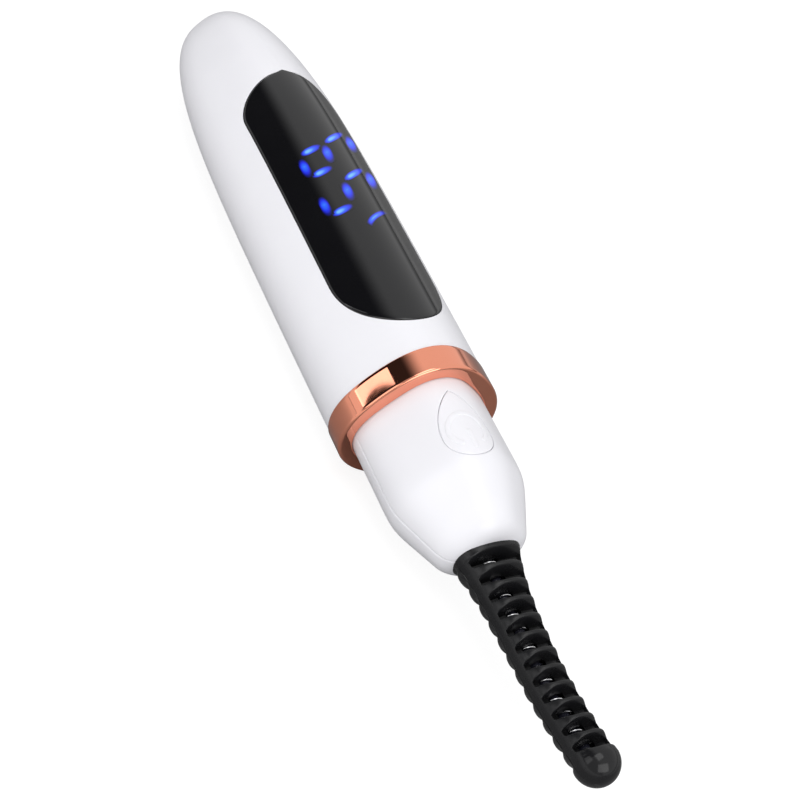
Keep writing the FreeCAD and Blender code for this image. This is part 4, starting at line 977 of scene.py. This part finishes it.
def heater_line(ends, count):
    """Points along the bowed middle of the heater."""
    stations = np.linspace(*ends, count)
    return [(station, 0.0, float(comb_middle(station)) + TUNNEL_RISE) for station in stations]


def cut_tunnel(comb):
    """Cuts the heater's bowed tunnel through the ribs."""
    tunnel = tube("tunnel", heater_line(TUNNEL_ENDS, 60), TUNNEL_RADIUS, sides=40, end_rounds=6)
    cutter = comb.modifiers.new("tunnel", "BOOLEAN")
    cutter.operation = "DIFFERENCE"
    cutter.solver = "EXACT"
    cutter.object = tunnel
    bpy.context.view_layer.update()
    graph = bpy.context.evaluated_depsgraph_get()
    mesh = bpy.data.meshes.new_from_object(comb.evaluated_get(graph))
    comb.modifiers.clear()
    comb.data = mesh
    finish_mesh(mesh, 35)
    bpy.data.objects.remove(tunnel)


def build_comb():
    """The comb's two halves, with the heater's tunnel through them."""
    front_turns = np.radians(np.concatenate([[-90, -89], np.linspace(-86, 86, 73), [89, 90]]))
    front = comb_half("comb_ribbed_front", rib_lines(), front_turns, front_shape)
    stations = list(np.linspace(COMB_START, COMB_TIP_MIDDLE, 240))
    stations += list(COMB_TIP_MIDDLE + COMB_TIP_RADIUS * np.sin(TIP_TURNS))
    back_turns = np.radians(np.concatenate([[90, 91], np.linspace(94, 266, 61), [269, 270]]))
    back_lines = [(station, 0.0) for station in stations]
    back = comb_half("comb_scalloped_back", back_lines, back_turns, back_shape)
    for half, node in ((front, "comb_front"), (back, "comb_back")):
        cut_tunnel(half)
        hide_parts(node)
        wear(half, "handle", "comb_black")


def build_heater():
    """The bright coil and the dark rod inside it, bowed with the comb."""
    turns = (COIL_ENDS[1] - COIL_ENDS[0]) / COIL_PITCH
    path = []
    for way in np.linspace(0, 1, round(turns * 26)):
        station = COIL_ENDS[0] + way * (COIL_ENDS[1] - COIL_ENDS[0])
        angle = 2 * math.pi * turns * way
        middle = float(comb_middle(station)) + TUNNEL_RISE
        path.append((station, COIL_RADIUS * math.sin(angle), middle + COIL_RADIUS * math.cos(angle)))
    coil = tube("bright_coil", path, COIL_WIRE, sides=10)
    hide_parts("heating_coil")
    wear(coil, "handle", "heating_wire")
    core = tube("dark_heater_rod", heater_line(CORE_ENDS, 80), CORE_RADIUS, sides=28, end_rounds=5)
    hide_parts("heater_core")
    wear(core, "handle", "heater_ceramic")


# ---- the studio ----


FLOOR_REACH = 3.0
FLOOR_MIDDLE = 0.02
FLOOR_DISTANCES = (0.02, 0.15)
# Painted shade: the floor's colour close to the device and further out, darker close by to stand in for the
# shade that the ring and lens reflect.
FLOOR_PAINTED_SHADE_LEVELS = (0.24, 0.66)
FLOOR_LIFT = 0.84
TENT_NEAR = 0.95
TENT_HIGH = 0.5
TENT_GAP = 0.03
TENT_FAR = 0.92
TENT_LOW = 0.3
TENT_NEAR_BAND = np.radians((-60, 3, 11, 2))
TENT_HIGH_BAND = np.radians((11, 2, 72, 15))
TENT_FAR_BAND = np.radians((72, 15, 173, 6))
TENT_LOW_BAND = np.radians((72, 15, 200, 6))
TENT_GAP_BAND = (-0.95, 0.04, -0.2, 0.06)


def build_floor():
    """A white sheet under the device: darker near it, a painted shade for the reflections, and lifted to
    white for the camera.
    """
    mesh = bpy.data.meshes.new("floor")
    corners = ((-1, -1), (1, -1), (1, 1), (-1, 1))
    points = [(along * FLOOR_REACH, across * FLOOR_REACH, 0) for along, across in corners]
    mesh.from_pydata(points, [], [(0, 1, 2, 3)])
    floor = bpy.data.objects.new("floor", mesh)
    bpy.context.scene.collection.objects.link(floor)
    material = bpy.data.materials.new("white_sheet")
    material.use_nodes = True
    tree = material.node_tree
    shader = tree.nodes["Principled BSDF"]
    shader.inputs["Roughness"].default_value = 0.9
    shader.inputs["Specular IOR Level"].default_value = 0.1
    where = tree.nodes.new("ShaderNodeTexCoord").outputs["Object"]
    # Painted shade: the sheet's colour darkens towards the device's middle line, standing in for the floor's
    # shade in reflections.
    aside = maths(tree, "ABSOLUTE", maths(tree, "SUBTRACT", axis_value(tree, where, "Y"), FLOOR_MIDDLE))
    tree.links.new(map_range(tree, aside, FLOOR_DISTANCES, FLOOR_PAINTED_SHADE_LEVELS), shader.inputs["Base Color"])
    lit = add_node(tree, "ShaderNodeEmission", Strength=FLOOR_LIFT)
    seen = tree.nodes.new("ShaderNodeLightPath")
    both = tree.nodes.new("ShaderNodeAddShader")
    pick = tree.nodes.new("ShaderNodeMixShader")
    tree.links.new(shader.outputs["BSDF"], both.inputs[0])
    tree.links.new(lit.outputs["Emission"], both.inputs[1])
    tree.links.new(seen.outputs["Is Camera Ray"], pick.inputs["Fac"])
    tree.links.new(shader.outputs["BSDF"], pick.inputs[1])
    tree.links.new(both.outputs["Shader"], pick.inputs[2])
    tree.links.new(pick.outputs["Shader"], tree.nodes["Material Output"].inputs["Surface"])
    mesh.materials.append(material)


def build_tent():
    """A light tent: even light, brighter over the far side, and a dark gap high on the near rear side."""
    world = bpy.data.worlds.new("tent")
    bpy.context.scene.world = world
    world.use_nodes = True
    tree = world.node_tree
    background = tree.nodes["Background"]
    where = tree.nodes.new("ShaderNodeTexCoord").outputs["Generated"]
    along, aside, upwards = (axis_value(tree, where, axis) for axis in "XYZ")

    def window(value, low, low_soft, high, high_soft):
        """1 between low and high, 0 outside, with soft edges."""
        edges = []
        for start, end in ((low - low_soft, low + low_soft), (high + high_soft, high - high_soft)):
            node = tree.nodes.new("ShaderNodeMapRange")
            node.interpolation_type = "SMOOTHSTEP"
            node.inputs["From Min"].default_value = start
            node.inputs["From Max"].default_value = end
            tree.links.new(value, node.inputs["Value"])
            edges.append(node.outputs["Result"])
        return maths(tree, "MULTIPLY", *edges)

    around = maths(tree, "ARCTAN2", upwards, maths(tree, "MULTIPLY", aside, -1.0))
    gap = maths(tree, "MULTIPLY", window(along, *TENT_GAP_BAND), TENT_HIGH - TENT_GAP)
    high = maths(tree, "SUBTRACT", TENT_HIGH, gap)
    total = 0.0
    for band, level in ((TENT_NEAR_BAND, TENT_NEAR), (TENT_HIGH_BAND, high),
                        (TENT_FAR_BAND, TENT_FAR - TENT_LOW), (TENT_LOW_BAND, TENT_LOW)):
        total = maths(tree, "ADD", total, maths(tree, "MULTIPLY", window(around, *band), level))
    tree.links.new(maths(tree, "MAXIMUM", total, TENT_GAP), background.inputs["Strength"])
    background.inputs["Color"].default_value = (1, 1, 1, 1)


def add_softbox(name, middle, width, height, level, upright=(0.0, 0.0, 1.0), mirrored=True, lights=True):
    """A rectangular soft light of a given radiance that faces the ring, its height along a direction.

    A box that isn't mirrored shows in no gloss, and one that doesn't light shows only in gloss."""
    light = bpy.data.lights.new(name, "AREA")
    light.shape = "RECTANGLE"
    light.size = width
    light.size_y = height
    light.energy = level * math.pi * width * height
    thing = bpy.data.objects.new(name, light)
    bpy.context.scene.collection.objects.link(thing)
    away = (Vector(middle) - Vector((RING_FRONT * MM, 0, AXIS_HEIGHT * MM))).normalized()
    across = Vector(upright).cross(away).normalized()
    thing.matrix_world = Matrix([across, away.cross(across), away]).transposed().to_4x4()
    thing.location = middle
    thing.visible_camera = False
    thing.visible_glossy = mirrored
    thing.visible_diffuse = lights


def build_camera():
    """The view from above the comb end, on the -Y side."""
    data = bpy.data.cameras.new("view")
    data.lens = 72
    data.sensor_width = 36
    data.clip_start = 0.01
    camera = bpy.data.objects.new("view", data)
    right, up, back = (0.3841, 0.8815, 0.2747), (-0.7527, 0.1266, 0.6461), (0.5348, -0.4549, 0.7121)
    matrix = Matrix([right, up, back]).transposed().to_4x4()
    matrix.translation = (0.12774, -0.10032, 0.16558)
    camera.matrix_world = matrix
    bpy.context.scene.collection.objects.link(camera)
    bpy.context.scene.camera = camera


build_camera()
build_floor()
build_tent()
add_softbox("strip_light", (-0.0438, -0.0838, 0.0534), 0.0056, 0.053, 2.1, (-0.02, 0.4545, 0.89))
add_softbox("comb_softbox", (0.035, -0.088, 0.066), 0.085, 0.055, 1.1, lights=False)
add_softbox("left_fill", (-0.05, -0.5, 0.2), 0.6, 0.4, 1.55, mirrored=False)
add_softbox("top_softbox", (0.042, -0.082, 0.55), 0.34, 0.30, 1.85)
add_softbox("front_softbox", (0.44, -0.02, 0.28), 0.40, 0.30, 1.9)
dress_cad_nodes()
build_ring()
build_neck_half("neck_front", True, "neck_front_shell")
build_neck_half("neck_back", False, "neck_back_shell")
build_button()
build_symbol()
build_lens()
build_digits()
build_comb()
build_heater()
bpy.context.scene.view_settings.view_transform = "Standard"
